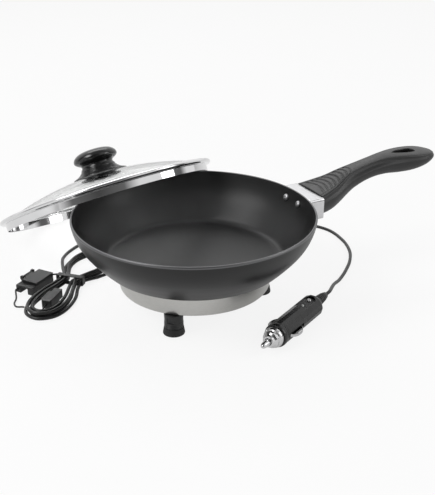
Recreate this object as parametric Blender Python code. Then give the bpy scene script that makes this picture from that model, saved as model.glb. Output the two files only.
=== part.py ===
"""Electric skillet: round pan on a heated base, loose glass lid, corded vehicle plug.

Metres, +Z up. The origin is the centre of the cooking surface; the handle points along +X.
"""
import bpy
import bmesh
import numpy as np
from math import acos, asin, cos, pi, radians, sin, sqrt
from mathutils import Matrix, Vector

# Fits shared by every piece.
GAP = 0.0003
CUT_OVERRUN = 0.0020
SCREW_PLAY = 0.0004
HALF_SHARE = 0.5
NEAR_SHARE = 1e-6
SMALL_SEGMENTS = 12
MEDIUM_SEGMENTS = 14

# Pan: its side runs from the edge of the base up to the rim.
PAN_RIM_R = 0.1200
PAN_BASE_R = 0.0800
PAN_DEPTH = 0.0475
PAN_FLOOR_T = 0.0040
PAN_WALL = 0.0026
PAN_SIDE_SHARES = (
    (0.0, 0.0), (0.1125, 0.0117), (0.2550, 0.0680), (0.4050, 0.1845), (0.5925, 0.3398),
    (0.7550, 0.4951), (0.8725, 0.6505), (0.9500, 0.8058), (0.9900, 0.9223), (1.0, 0.9825),
)
RIM_BEVEL = 0.0007
FLOOR_FILLET_RUN = 0.0090
FLOOR_FILLET_H = 0.0050
FLOOR_FILLET_SHARES = ((0.0, 0.0), (0.41, 0.18), (0.79, 0.64))
PAN_STEPS = 9
PAN_SEGMENTS = 56
BOSS_R = 0.0062
BOSS_ROOF_SHARE = 0.75

# Rivets that hold the handle bracket, on the wall's own normal.
RIVET_SPACING = 0.0226
RIVET_DROP = 0.0107
RIVET_SHANK_R = 0.0016
RIVET_PLAY = 0.0003
RIVET_HEAD_R = 0.0036
RIVET_HEAD_H = 0.0014
RIVET_SEAT = 0.0007
RIVET_BUTTON_R = 0.0030
RIVET_BUTTON_H = 0.0011
RIVET_DOME_SHARES = ((0.55, 0.85), (0.9, 0.45))
RIVET_BUTTON_SHARE = 0.8

# Handle bracket: a curved plate on the wall with a tang running into the grip.
PLATE_T = 0.0022
PLATE_BELOW = 0.0068
PLATE_ABOVE = 0.0050
PLATE_SIDE_PLAY = 0.0040
WALL_SEAT = 0.0008
BRACKET_STEPS = 12
TANG_T = 0.0050
TANG_HALF_W = 0.0060
TANG_REACH = 0.0387
TANG_ROOT_SHARE = 0.1

# Ferrule between the pan and the grip.
FERRULE_H = 0.0222
FERRULE_HALF_W = 0.0258
FERRULE_WALL = 0.0020
FERRULE_REACH = 0.0170
FERRULE_TOP_PLAY = 0.0009
FERRULE_CORNER_R = 0.0030
FERRULE_CORNER_STEPS = 2
FERRULE_SIDE_STEPS = 5

# Grip, as shares of its length, rise of the top, half width (top face, body), rise of the underside.
GRIP_LENGTH = 0.1592
GRIP_TOP_RISE = 0.0222
GRIP_UNDER_RISE = 0.0357
GRIP_STEP_IN = 0.0008
GRIP_SHARES = (
    (0.0, 0.023, 0.928, 1.0, -0.020), (0.048, 0.095, 0.856, 0.944, -0.036),
    (0.111, 0.194, 0.760, 0.864, 0.025), (0.174, 0.329, 0.624, 0.744, 0.140),
    (0.237, 0.518, 0.488, 0.632, 0.294), (0.300, 0.653, 0.408, 0.568, 0.457),
    (0.394, 0.788, 0.368, 0.544, 0.619), (0.488, 0.905, 0.368, 0.544, 0.697),
    (0.582, 0.986, 0.424, 0.584, 0.709), (0.677, 1.0, 0.544, 0.648, 0.675),
    (0.771, 0.973, 0.640, 0.704, 0.669), (0.846, 0.932, 0.672, 0.724, 0.714),
    (0.909, 0.892, 0.624, 0.680, 0.787), (0.959, 0.842, 0.496, 0.556, 0.882),
    (0.987, 0.797, 0.328, 0.384, 0.950), (1.0, 0.748, 0.160, 0.192, 1.0),
)
GRIP_CROWN = 0.0012
GRIP_SIDE_SHARES = ((1.0, 0.30), (0.98, 0.56), (0.84, 0.82), (0.46, 0.97))
GRIP_TOP_SHARES = ((0.0, 1.0), (0.5, 0.75), (0.9, 0.0))
RIBS_START = 0.0067
RIBS_LENGTH = 0.0420
RIB_COUNT = 8
RIB_DEPTH = 0.0008
RIB_BOW_SHARE = 0.22
RIB_SAMPLES = 3
GRIP_PLAIN_SECTIONS = 22
GRIP_TAIL_SHARE = 1.5
SLOT_LENGTH = 0.0300
SLOT_HALF_W = 0.0060
SLOT_INSET = 0.0245
SLOT_SHARES = (
    (0.0, 0.0), (0.15, 0.433), (0.333, 0.767), (0.567, 0.967), (0.8, 1.0), (0.95, 0.8), (1.0, 0.333),
)
HANDLE_SCREW_IN = 0.0227
HANDLE_SCREW_HEAD_R = 0.0035
HANDLE_SCREW_HEAD_H = 0.0022
HANDLE_SCREW_R = 0.0018
HANDLE_SCREW_SEAT_T = 0.0033

# Base band and its lips.
BAND_INSET = 0.0006
BAND_H = 0.0209
BAND_TAPER = 0.0045
BAND_WALL = 0.0011
BAND_TOP_LIP = 0.0059
BAND_LOW_LIP = 0.0114
BAND_SEGMENTS = 44

# Heating parts, held to the pan's boss by the centre screw.
PLATE_SEGMENTS = 28
COVER_PLAY = 0.0008
COVER_T = 0.0010
ELEMENT_SHARE = 0.625
ELEMENT_TUBE_R = 0.0032
ELEMENT_PLAY = 0.0004
ELEMENT_OPEN_TURN = radians(20.0)
ELEMENT_POINTS = 25
CLAMP_SHARE = 0.725
CLAMP_T = 0.0012
BOARD_SHARE = 0.825
BOARD_T = 0.0030
SPACER_WALL = 0.0047
CENTRE_SCREW_R = 0.0019
CENTRE_SCREW_SHY = 0.0015
CENTRE_HEAD_R = 0.0042
CENTRE_HEAD_H = 0.0024
THERMOSTAT_OUT = 0.0280
THERMOSTAT_R = 0.0085
THERMOSTAT_PLAY = 0.0009
THERMOSTAT_H = 0.0150

# Terminal block in a slot of the board, and the leads inside the base.
BLOCK_DEPTH = 0.0105
BLOCK_WIDTH = 0.0160
BLOCK_H = 0.0095
BLOCK_SHARE = 0.65
BLOCK_SLOT_SIDE = 0.0085
BLOCK_SLOT_FRONT = 0.0067
BLOCK_SCREW_OFFSET = 0.0042
BLOCK_SCREW_R = 0.0017
BLOCK_SCREW_SUNK = 0.0010
BLOCK_HOLE_DEPTH = 0.0045
LEAD_R = 0.0011
LEAD_STEP = 0.0007
LEAD_POINTS = 12

# Gland in the sloping side of the band.
GLAND_TURN = radians(80.0)
GLAND_DOWN_SHARE = 0.62
GLAND_HOLE_R = 0.0046
GLAND_NECK_PLAY = 0.0005
GLAND_SEAT = 0.0009
GLAND_SEAT_IN = 0.0011
GLAND_FLANGE_R = 0.0058
GLAND_FLANGE_T = 0.0015
GLAND_FLANGE_SHARE = 0.965
GLAND_SHOULDER_SHARE = 0.81
GLAND_SHOULDER_T = 0.0016
GLAND_INNER_R = 0.0054
GLAND_INNER_T = 0.0012
GLAND_LENGTH = 0.0225
CORD_PLAY = 0.0004
SLEEVE_WALL = 0.0007

# Feet: three, evenly spaced on the band's lower lip.
FOOT_FIRST_TURN = radians(-135.0)
FOOT_COUNT = 3
FOOT_R = 0.0094
FOOT_LEG_H = 0.0145
FOOT_PAD_H = 0.0069
FOOT_LEG_SHARES = (0.989, 0.947, 1.0)
FOOT_PAD_SHARES = (1.021, 1.043, 1.128)
FOOT_PAD_LEDGE = 0.0016
FOOT_SEAT_T = 0.0055
FOOT_WINDOW_DEPTH = 0.0015
FOOT_WINDOW_W = 0.0084
FOOT_WINDOW_H = 0.0058
FOOT_WINDOW_DROP = 0.0053
FOOT_SEGMENTS = 18
FOOT_SCREW_R = 0.0018
FOOT_SCREW_HEAD_R = 0.0040
FOOT_SCREW_HEAD_H = 0.0024
FOOT_BORE_PLAY = 0.0006
FOOT_SCREW_PROUD = 0.0023

# Lid: glass, rolled rim with its skirt, and how it leans.
LID_TURN = radians(98.7)
LID_TILT = radians(29.0)
LID_REST_PLAY = 0.0004
GLASS_R = 0.1138
GLASS_LAND = 0.0048
GLASS_HOLE_PLAY = 0.0014
GLASS_T = 0.0027
GLASS_RISE = 0.0195
GLASS_STEPS = 5
LID_SEGMENTS = 40
RIM_SHEET_T = 0.0006
RIM_LAP = 0.0042
RIM_LOW_LAP = 0.0038
BEAD_WIDTH = 0.0069
BEAD_H = 0.0060
BEAD_SHARES = (
    (0.13, 0.967), (0.71, 0.833), (0.942, 0.65), (1.0, 0.45), (0.942, 0.233), (0.71, 0.05),
    (0.188, 0.0),
)
SKIRT_WALL = 0.0008
SKIRT_H = 0.0076

# Knob, its flared skirt, washer and screw.
KNOB_R = 0.0246
KNOB_H = 0.0187
KNOB_SHARES = (
    (0.0, 1.0), (0.447, 0.968), (0.740, 0.872), (0.927, 0.701), (1.0, 0.508), (0.976, 0.369),
    (0.862, 0.251), (0.748, 0.166), (0.715, 0.080), (0.732, 0.0),
)
FLARE_R = 0.0306
FLARE_H = 0.0107
FLARE_SHARES = (
    (1.0, 0.047), (0.987, 0.121), (0.817, 0.327), (0.686, 0.626), (0.627, 0.888), (0.608, 1.0),
)
FLARE_UNDER_SHARES = (0.0, 0.327, 0.654, 0.967)
FLARE_HOLE_PLAY = 0.0008
FLARE_SEAT = 0.00045
KNOB_WASHER_R = 0.0085
KNOB_WASHER_T = 0.0014
KNOB_SCREW_R = 0.0018
KNOB_SCREW_HEAD_R = 0.0042
KNOB_SCREW_HEAD_H = 0.0022
KNOB_HOLE_DEPTH = 0.0111
KNOB_SCREW_SHY = 0.0030
KNOB_SEGMENTS = 20

# Cord: one round lead, its routes in plan and height above the stand.
CORD_R = 0.0018
CORD_LIFT = 0.0002
THIN_R = 0.0009
BASE_ROUTE = (
    (0.0184, 0.1090, 0.0205), (0.0168, 0.1160, 0.0126), (0.0120, 0.1215, 0.0058),
    (0.0030, 0.1235, 0.0024), (-0.0110, 0.1185, 0.0020), (-0.0280, 0.1070, 0.0020),
    (-0.0460, 0.0965, 0.0020),
)
BASE_POINTS = 28
PLUG_ROUTE = (
    (-0.0900, 0.1370, 0.0056), (-0.0835, 0.1510, 0.0032), (-0.0700, 0.1660, 0.0020),
    (-0.0480, 0.1790, 0.0020), (-0.0200, 0.1860, 0.0020), (0.0150, 0.1850, 0.0020),
    (0.0520, 0.1730, 0.0020), (0.0900, 0.1520, 0.0020),
    (0.1300, 0.1340, 0.0020), (0.1700, 0.1200, 0.0020), (0.2000, 0.1000, 0.0020),
    (0.2160, 0.0720, 0.0020), (0.2140, 0.0400, 0.0020), (0.2040, 0.0130, 0.0020),
    (0.1890, -0.0080, 0.0020), (0.1700, -0.0260, 0.0020), (0.1500, -0.0420, 0.0032),
    (0.1330, -0.0548, 0.0075),
)
PLUG_ROUTE_POINTS = 38
CORD_RESOLUTION = 2

# Hank: loops drawn in at the tie, two layers, wound inwards below and outwards above.
HANK_CENTRE = (-0.0980, 0.0920)
HANK_TURN = radians(43.0)
HANK_QUARTER = (
    (0.0026, 0.0000), (0.0034, 0.0100), (0.0086, 0.0230), (0.0118, 0.0400), (0.0124, 0.0530),
    (0.0096, 0.0640), (0.0046, 0.0697), (0.0000, 0.0710),
)
HANK_FAR_WIDEN = 0.0045
HANK_PITCH = 0.0048
HANK_LAYER = 0.0043
HANK_BASE_Z = 0.0021
HANK_TIE_LIFT = 0.0018
HANK_TIE_SPREAD = 0.0160
HANK_START_SHARE = 0.20
HANK_LOW_SHARE = 2.0
HANK_CLIMB_SHARE = 0.14
HANK_END_SHARE = 3.80
HANK_LOOP_POINTS = 24
HANK_CROWD_SHARE = 0.4
TIE_HALF_ALONG = 0.0030
TIE_T = 0.0011
TIE_PLAY = 0.0012

# In-line fuse holder and its hinged cap, lying on the stand.
HOLDER_CENTRE = (-0.1322, 0.1058)
HOLDER_TURN = radians(33.0)
HOLDER_LENGTH = 0.0360
HOLDER_WIDTH = 0.0200
HOLDER_H = 0.0080
HOLDER_LIFT = 0.0003
CHANNEL_LENGTH = 0.0130
CHANNEL_WIDTH = 0.0090
CHANNEL_H = 0.0062
POCKET_LENGTH = 0.0130
POCKET_WIDTH = 0.0050
POCKET_DEPTH = 0.0060
POCKET_X = 0.0050
BLADE_PLAY = 0.0006
CAP_T = 0.0024
CAP_LENGTH = 0.0280
HINGE_OUT = 0.0024
HINGE_UP = 0.0016
HINGE_BARREL_R = 0.0013
HINGE_PIN_R = 0.0006
HINGE_BARREL_HALF = 0.0070
HINGE_LUG_T = 0.0022
HINGE_LUG_R = 0.0020
HINGE_CENTRE_X = 0.0040
HOLDER_LEAD_ALONG = 0.0150
HOLDER_WIRE_ALONG = -0.0620
HOLDER_LEAD_STEP = 0.0025
HOLDER_WIRE_ROUTE = ((-0.1585, 0.0880, 0.0016), (-0.1635, 0.0790, 0.0012), (-0.1640, 0.0710, 0.0014))

# Coupler block inside the near loop.
COUPLER_CENTRE = (-0.1286, 0.0635)
COUPLER_LENGTH = 0.0280
COUPLER_WIDTH = 0.0110
COUPLER_H = 0.0105
COUPLER_STEP_LENGTH = 0.0100
COUPLER_STEP_IN = 0.0014

# Vehicle plug: rear end of its axis, direction, and lengths along it from the cord end.
PLUG_REAR = (0.1071, -0.0757)
PLUG_TURN = radians(-153.506)
RELIEF_LENGTH = 0.0221
RELIEF_R = 0.0066
RELIEF_SHARES = ((0.667, 0.271), (0.848, 0.837), (1.0, 0.882), (1.0, 1.0))
RELIEF_BORE_SHARE = 0.905
RELIEF_SEAT_IN = 0.0013
RELIEF_INNER_T = 0.0018
RELIEF_INNER_PROUD = 0.0014
SHELL_R = 0.0114
SHELL_LENGTH = 0.0695
SHELL_SHOULDER = 0.0045
SHELL_SHARES = (0.754, 0.94, 0.985)
SHELL_BORE_R = 0.0076
SHELL_REAR_HOLE_R = 0.0050
SHELL_FRONT_HOLE_R = 0.0046
SHELL_RIB_HOLE_R = 0.0018
SHELL_REAR_WALL = 0.0030
SHELL_FRONT_WALL = 0.0025
SHELL_RIB_START = 0.0315
SHELL_RIB_T = 0.0030
SIDE_SLOT_LENGTH = 0.0260
SIDE_SLOT_HALF = 0.0018
SIDE_SLOT_FRONT_SHARE = 0.8
SHELL_ARC_STEPS = 7
PANEL_START = 0.0060
PANEL_LENGTH = 0.0240
PANEL_DEPTH = 0.0025
PANEL_HALF_W = 0.0066
PANEL_ROUND_STEPS = 8
PLUG_SCREW_IN = 0.0060
PLUG_SCREW_HEAD_R = 0.0024
PLUG_SCREW_HEAD_H = 0.0009
PLUG_SCREW_R = 0.0012
PLUG_SCREW_ROOF = 0.0016
LAMP_IN = 0.0185
LAMP_R = 0.0015
LAMP_SEAT = 0.0010
LAMP_PROUD = 0.0009
COLLAR_LENGTH = 0.0057
COLLAR_PROUD = 0.0002
COLLAR_SHARES = ((0.983, 0.0), (1.0, 0.474), (0.966, 1.0))
RING_R = 0.0100
RING_LENGTH = 0.0122
RING_SHARES = (
    (0.98, 0.0), (1.0, 0.221), (0.94, 0.385), (0.80, 0.434), (0.82, 0.648), (0.62, 0.795),
    (0.56, 1.0),
)
RING_BORE_PLAY = 0.0006
RING_LIP_PLAY = 0.0005
TIP_BACK = 0.0021
TIP_FLANGE_R = 0.0050
TIP_FLANGE_T = 0.0016
TIP_R = 0.0030
TIP_PROUD = 0.0107
TIP_NOSE = 0.0042
TIP_NOSE_SHARES = ((1.0, 1.0), (0.8, 0.38), (0.4, 0.07))
FUSE_R = 0.0032
FUSE_LENGTH = 0.0301
FUSE_CAP_LENGTH = 0.0060
FUSE_GLASS_SHARE = 0.875
SPRING_R = 0.0026
SPRING_WIRE_R = 0.0004
SPRING_PLAY = 0.0004
SPRING_TURNS = 5
SPRING_TURN_POINTS = 8
CONTACT_REACH = 0.0165
CONTACT_T = 0.0005
CONTACT_PLAY = 0.0005
CONTACT_SHARES = (
    (0.892, 0.352), (0.938, 0.497), (0.938, 0.679), (0.877, 0.848), (0.738, 0.970),
    (0.562, 1.0), (0.385, 0.945), (0.238, 0.800), (0.162, 0.618), (0.138, 0.376),
)
CONTACT_STEPS = 14

UP = Vector((0.0, 0.0, 1.0))


def clear_scene():
    for ob in list(bpy.data.objects):
        bpy.data.objects.remove(ob, do_unlink=True)


def paint(name, colour, rough, metal=0.0, alpha=1.0):
    mat = bpy.data.materials.new(name)
    mat.use_nodes = True
    shader = mat.node_tree.nodes["Principled BSDF"]
    shader.inputs["Base Color"].default_value = (*colour, 1.0)
    shader.inputs["Roughness"].default_value = rough
    shader.inputs["Metallic"].default_value = metal
    shader.inputs["Alpha"].default_value = alpha
    return mat


def add_solid(name, verts, faces, mat=None, matrix=None):
    """One closed mesh, facing out, placed by its matrix."""
    mesh = bpy.data.meshes.new(name)
    mesh.from_pydata([tuple(map(float, v)) for v in verts], [], faces)
    bm = bmesh.new()
    bm.from_mesh(mesh)
    bmesh.ops.recalc_face_normals(bm, faces=bm.faces)
    bm.to_mesh(mesh)
    bm.free()
    ob = bpy.data.objects.new(name, mesh)
    bpy.context.scene.collection.objects.link(ob)
    if mat is not None:
        mesh.materials.append(mat)
    if matrix is not None:
        ob.matrix_world = matrix
    return ob


def loop_faces(rings, count, close=False):
    faces = []
    last = rings if close else rings - 1
    for i in range(last):
        a = i * count
        b = ((i + 1) % rings) * count
        for j in range(count):
            k = (j + 1) % count
            faces.append((a + j, a + k, b + k, b + j))
    return faces


def loft(name, rings, mat=None, matrix=None, close=False):
    """Quads between rings of equal count, with flat ends unless it closes on itself."""
    rings = np.asarray(rings, dtype=float)
    n, count = rings.shape[:2]
    faces = loop_faces(n, count, close)
    if not close:
        faces.append(tuple(range(count)))
        faces.append(tuple(range((n - 1) * count, n * count)))
    return add_solid(name, rings.reshape(-1, 3), faces, mat, matrix)


def revolve(name, profile, segments, mat=None, matrix=None):
    """Closed (radius, height) profile turned about local +Z; zero radius makes a pole."""
    verts = []
    rings = []
    for r, z in profile:
        if r <= GAP * NEAR_SHARE:
            rings.append([len(verts)])
            verts.append((0.0, 0.0, z))
        else:
            start = len(verts)
            for j in range(segments):
                a = 2.0 * pi * j / segments
                verts.append((r * cos(a), r * sin(a), z))
            rings.append(list(range(start, start + segments)))
    faces = []
    for i, low in enumerate(rings):
        high = rings[(i + 1) % len(rings)]
        if len(low) == 1 and len(high) == 1:
            continue
        for j in range(segments):
            k = (j + 1) % segments
            if len(low) == 1:
                faces.append((low[0], high[k], high[j]))
            elif len(high) == 1:
                faces.append((low[j], low[k], high[0]))
            else:
                faces.append((low[j], low[k], high[k], high[j]))
    return add_solid(name, verts, faces, mat, matrix)


def disc(name, r, z0, z1, segments, mat=None, matrix=None):
    return revolve(name, ((0.0, z0), (r, z0), (r, z1), (0.0, z1)), segments, mat, matrix)


def washer(name, r0, r1, z0, z1, segments, mat=None, matrix=None):
    return revolve(name, ((r0, z0), (r1, z0), (r1, z1), (r0, z1)), segments, mat, matrix)


def prism(name, outline, z0, z1, mat=None, matrix=None):
    rings = [[(x, y, z) for x, y in outline] for z in (z0, z1)]
    return loft(name, rings, mat, matrix)


def box(name, size, centre, mat=None, matrix=None):
    hx, hy, hz = (s / 2.0 for s in size)
    cx, cy, cz = centre
    outline = ((cx - hx, cy - hy), (cx + hx, cy - hy), (cx + hx, cy + hy), (cx - hx, cy + hy))
    return prism(name, outline, cz - hz, cz + hz, mat, matrix)


def combine(ob, tool, operation):
    """Leave a live exact Boolean on the piece; its tool is never drawn."""
    mod = ob.modifiers.new(tool.name, "BOOLEAN")
    mod.operation = operation
    mod.solver = "EXACT"
    mod.object = tool
    tool.hide_render = True
    tool.display_type = "WIRE"


def cut(ob, tool):
    combine(ob, tool, "DIFFERENCE")


def join(ob, tool):
    combine(ob, tool, "UNION")


def frame(origin, z_dir, x_hint):
    z = Vector(z_dir).normalized()
    y = z.cross(Vector(x_hint)).normalized()
    x = y.cross(z)
    m = Matrix((x, y, z)).transposed().to_4x4()
    m.translation = Vector(origin)
    return m


def turned(radius, turn, z=0.0):
    m = Matrix.Rotation(turn, 4, "Z")
    m.translation = Vector((radius * cos(turn), radius * sin(turn), z))
    return m


def smooth_curve(points, samples):
    """Even samples along a smooth curve through the given points."""
    p = np.asarray(points, dtype=float)
    pads = np.vstack([2 * p[0] - p[1], p, 2 * p[-1] - p[-2]])
    fine = []
    t = np.linspace(0.0, 1.0, 24, endpoint=False)[:, None]
    for i in range(len(p) - 1):
        a, b, c, d = pads[i:i + 4]
        fine.append(0.5 * (2 * b + (c - a) * t + (2 * a - 5 * b + 4 * c - d) * t ** 2
                           + (3 * b - a - 3 * c + d) * t ** 3))
    fine = np.vstack(fine + [p[-1:]])
    run = np.concatenate([[0.0], np.cumsum(np.linalg.norm(np.diff(fine, axis=0), axis=1))])
    at = np.linspace(0.0, run[-1], samples)
    return np.stack([np.interp(at, run, fine[:, k]) for k in range(fine.shape[1])], axis=1)


def tube(name, points, radius, mat, resolution=CORD_RESOLUTION):
    curve = bpy.data.curves.new(name, "CURVE")
    curve.dimensions = "3D"
    curve.bevel_depth = radius
    curve.bevel_resolution = resolution
    curve.use_fill_caps = True
    spline = curve.splines.new("POLY")
    spline.points.add(len(points) - 1)
    for point, co in zip(spline.points, points):
        point.co = (*map(float, co), 1.0)
    ob = bpy.data.objects.new(name, curve)
    bpy.context.scene.collection.objects.link(ob)
    curve.materials.append(mat)
    return ob


def run_length(points):
    return float(np.linalg.norm(np.diff(np.asarray(points), axis=0), axis=1).sum())


# Pan shell.
clear_scene()
COAT = paint("pan_coating", (0.030, 0.030, 0.032), 0.42)
BRIGHT = paint("brushed_steel", (0.62, 0.61, 0.60), 0.34, 1.0)
STEEL = paint("fixing_steel", (0.55, 0.55, 0.56), 0.35, 1.0)
ALLOY = paint("handle_alloy", (0.72, 0.72, 0.73), 0.38, 1.0)
GRIP = paint("grip_plastic", (0.020, 0.020, 0.021), 0.38)
KNOB = paint("knob_plastic", (0.010, 0.010, 0.010), 0.12)
RUBBER = paint("foot_rubber", (0.015, 0.015, 0.015), 0.75)
GLASS = paint("lid_glass", (0.86, 0.90, 0.89), 0.03, 0.0, 0.3)
POLISHED = paint("polished_steel", (0.80, 0.80, 0.81), 0.10, 1.0)
CERAMIC = paint("white_ceramic", (0.82, 0.80, 0.74), 0.55)
BOARD = paint("insulation_fibre", (0.66, 0.62, 0.52), 0.85)
CORD = paint("cord_jacket", (0.014, 0.014, 0.014), 0.45)
PLUG = paint("plug_plastic", (0.012, 0.012, 0.013), 0.30)
AMBER = paint("fuse_amber", (0.75, 0.30, 0.04), 0.35)
LAMP = paint("lamp_lens", (0.75, 0.78, 0.75), 0.15)

# Levels from the cooking surface down to what the feet stand on.
pan_low = -PAN_FLOOR_T
band_top = pan_low - GAP
band_low = band_top - BAND_H
foot_top = band_low - GAP
leg_low = foot_top - FOOT_LEG_H
pad_top = leg_low - GAP
stand = pad_top - FOOT_PAD_H

# Pan shell.
side = np.array(PAN_SIDE_SHARES)
side = np.stack([PAN_BASE_R + side[:, 0] * (PAN_RIM_R - PAN_BASE_R),
                 pan_low + side[:, 1] * (PAN_DEPTH + PAN_FLOOR_T)], axis=1)
outer = smooth_curve(side, PAN_STEPS)


def pan_outer_radius(z):
    return float(np.interp(z, outer[:, 1], outer[:, 0]))


slope = np.gradient(outer, axis=0)
slope /= np.linalg.norm(slope, axis=1)[:, None]
inner = outer + PAN_WALL * np.stack([-slope[:, 1], slope[:, 0]], axis=1)
fillet_r = float(np.interp(FLOOR_FILLET_H, inner[:, 1], inner[:, 0]))
inner = inner[(inner[:, 1] > FLOOR_FILLET_H) & (inner[:, 1] < PAN_DEPTH - PAN_WALL * HALF_SHARE)]
fillet = [(fillet_r - FLOOR_FILLET_RUN * (1.0 - u), FLOOR_FILLET_H * v)
          for u, v in FLOOR_FILLET_SHARES]
boss_low = pan_low - GAP - 2.0 * ELEMENT_TUBE_R - ELEMENT_PLAY
boss_roof = -PAN_FLOOR_T * BOSS_ROOF_SHARE
centre_hole_r = CENTRE_SCREW_R + SCREW_PLAY
pan_profile = [(0.0, 0.0), *fillet, *map(tuple, inner)]
pan_profile += [(PAN_RIM_R - PAN_WALL + RIM_BEVEL, PAN_DEPTH), (PAN_RIM_R - RIM_BEVEL, PAN_DEPTH)]
pan_profile += [*map(tuple, outer[::-1]), (BOSS_R, pan_low), (BOSS_R, boss_low)]
pan_profile += [(centre_hole_r, boss_low), (centre_hole_r, boss_roof), (0.0, boss_roof)]
pan = revolve("pan_shell", pan_profile, PAN_SEGMENTS, COAT)

# Rivets on the wall's normal, through the pan and the bracket.
rivet_z = PAN_DEPTH - RIVET_DROP
rivet_r = pan_outer_radius(rivet_z)
rivet_turn = asin(RIVET_SPACING * HALF_SHARE / rivet_r)
rise = pan_outer_radius(rivet_z + RIVET_HEAD_R) - pan_outer_radius(rivet_z - RIVET_HEAD_R)
wall_lean = rise / (2.0 * RIVET_HEAD_R)
rivet_hole_r = RIVET_SHANK_R + RIVET_PLAY
plate_out = WALL_SEAT + PLATE_T + GAP
rivet_frames = []
for name, turn in (("left", rivet_turn), ("right", -rivet_turn)):
    out = Vector((cos(turn), sin(turn), -wall_lean))
    at = frame((rivet_r * cos(turn), rivet_r * sin(turn), rivet_z), out, UP)
    rivet_frames.append(at)
    head = -PAN_WALL - RIVET_SEAT
    profile = [(0.0, head - RIVET_HEAD_H)]
    profile += [(RIVET_HEAD_R * u, head - RIVET_HEAD_H * v) for u, v in RIVET_DOME_SHARES]
    profile += [(RIVET_HEAD_R, head), (RIVET_SHANK_R, head), (RIVET_SHANK_R, plate_out),
                (RIVET_BUTTON_R, plate_out),
                (RIVET_BUTTON_R * RIVET_BUTTON_SHARE, plate_out + RIVET_BUTTON_H),
                (0.0, plate_out + RIVET_BUTTON_H)]
    revolve("rivet_" + name, profile, SMALL_SEGMENTS, STEEL, at)
    tool = disc("cut_rivet_pan_" + name, rivet_hole_r, -PAN_WALL - CUT_OVERRUN, CUT_OVERRUN,
                SMALL_SEGMENTS, None, at)
    cut(pan, tool)

# Handle bracket: curved plate and tang in one piece.
plate_low = rivet_z - PLATE_BELOW
plate_top = rivet_z + PLATE_ABOVE
plate_half = FERRULE_HALF_W - FERRULE_WALL - PLATE_SIDE_PLAY
half_turn = asin(plate_half / (pan_outer_radius(plate_top) + WALL_SEAT + PLATE_T))
plate = []
for turn in np.linspace(-half_turn, half_turn, BRACKET_STEPS + 1):
    section = []
    for z, out in ((plate_low, 0.0), (plate_low, PLATE_T), (plate_top, PLATE_T), (plate_top, 0.0)):
        r = pan_outer_radius(z) + WALL_SEAT + out
        section.append((r * cos(turn), r * sin(turn), z))
    plate.append(section)
bracket = loft("handle_bracket", plate, STEEL)
ferrule_end = PAN_RIM_R + FERRULE_REACH
grip_start = ferrule_end + GAP
tang_top = rivet_z
tang_low = tang_top - TANG_T
tang_start = pan_outer_radius(tang_top) + WALL_SEAT + PLATE_T * TANG_ROOT_SHARE
tang_end = grip_start + TANG_REACH
tang_mid = (tang_low + tang_top) * HALF_SHARE
join(bracket, box("join_tang", (tang_end - tang_start, 2.0 * TANG_HALF_W, TANG_T),
                  ((tang_end + tang_start) * HALF_SHARE, 0.0, tang_mid)))
for name, at in zip(("left", "right"), rivet_frames):
    cut(bracket, disc("cut_rivet_bracket_" + name, rivet_hole_r, -CUT_OVERRUN,
                      plate_out + CUT_OVERRUN, SMALL_SEGMENTS, None, at))

# Ferrule: a hollow sleeve over the plate; its inner end follows the pan.
ferrule_top = plate_top + FERRULE_TOP_PLAY + FERRULE_WALL
ferrule_low = ferrule_top - FERRULE_H
ferrule_mid = (ferrule_low + ferrule_top) * HALF_SHARE


def sleeve_outline(inset):
    hy = FERRULE_HALF_W - inset
    hz = FERRULE_H * HALF_SHARE - inset
    r = FERRULE_CORNER_R - inset * HALF_SHARE
    outline = []
    for sy, sz, start in ((1, 1, 0.0), (-1, 1, 0.5), (-1, -1, 1.0), (1, -1, 1.5)):
        for k in range(FERRULE_CORNER_STEPS + 1):
            a = pi * (start + 0.5 * k / FERRULE_CORNER_STEPS)
            outline.append((sy * (hy - r) + r * cos(a), sz * (hz - r) + r * sin(a)))
        steps = np.linspace(1.0, -1.0, FERRULE_SIDE_STEPS + 1)[1:-1]
        if start in (0.0, 1.0):
            outline += [(sy * (hy - r) * t, sz * hz) for t in steps]
        else:
            outline += [(sy * hy, sz * (hz - r) * t) for t in steps]
    return outline


def sleeve_ring(inset, at_wall):
    ring = []
    for y, z in sleeve_outline(inset):
        x = ferrule_end
        if at_wall:
            r = pan_outer_radius(ferrule_mid + z) + WALL_SEAT
            x = sqrt(r * r - y * y)
        ring.append((x, y, ferrule_mid + z))
    return ring


rings = [sleeve_ring(0.0, True), sleeve_ring(0.0, False)]
rings += [sleeve_ring(FERRULE_WALL, False), sleeve_ring(FERRULE_WALL, True)]
loft("handle_ferrule", rings, ALLOY, None, True)

# Grip: lofted body with curved ribs, a socket for the tang and a hanging slot.
grip_half = FERRULE_HALF_W - GRIP_STEP_IN
shares = np.array(GRIP_SHARES)
table = np.stack([
    grip_start + shares[:, 0] * GRIP_LENGTH, ferrule_top + shares[:, 1] * GRIP_TOP_RISE,
    shares[:, 2] * grip_half, shares[:, 3] * grip_half,
    ferrule_low + shares[:, 4] * GRIP_UNDER_RISE], axis=1)
ribs_start = grip_start + RIBS_START
ribs_end = ribs_start + RIBS_LENGTH
rib_pitch = RIBS_LENGTH / RIB_COUNT
stations = list(np.linspace(grip_start, ribs_start, 3)[:-1])
stations += list(np.linspace(ribs_start, ribs_end, RIB_COUNT * RIB_SAMPLES + 1))
tail = 1.0 - (1.0 - np.linspace(0.0, 1.0, GRIP_PLAIN_SECTIONS + 1)) ** GRIP_TAIL_SHARE
stations += list(ribs_end + (table[-1, 0] - ribs_end) * tail[1:])
fine_table = smooth_curve(table, 240)


def rib_depth(x, y, half):
    along = x + RIB_BOW_SHARE * y * y / half
    if not ribs_start < x < ribs_end or abs(y) >= half:
        return 0.0
    return RIB_DEPTH * (0.5 - 0.5 * cos(2.0 * pi * (along - ribs_start) / rib_pitch))


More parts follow.
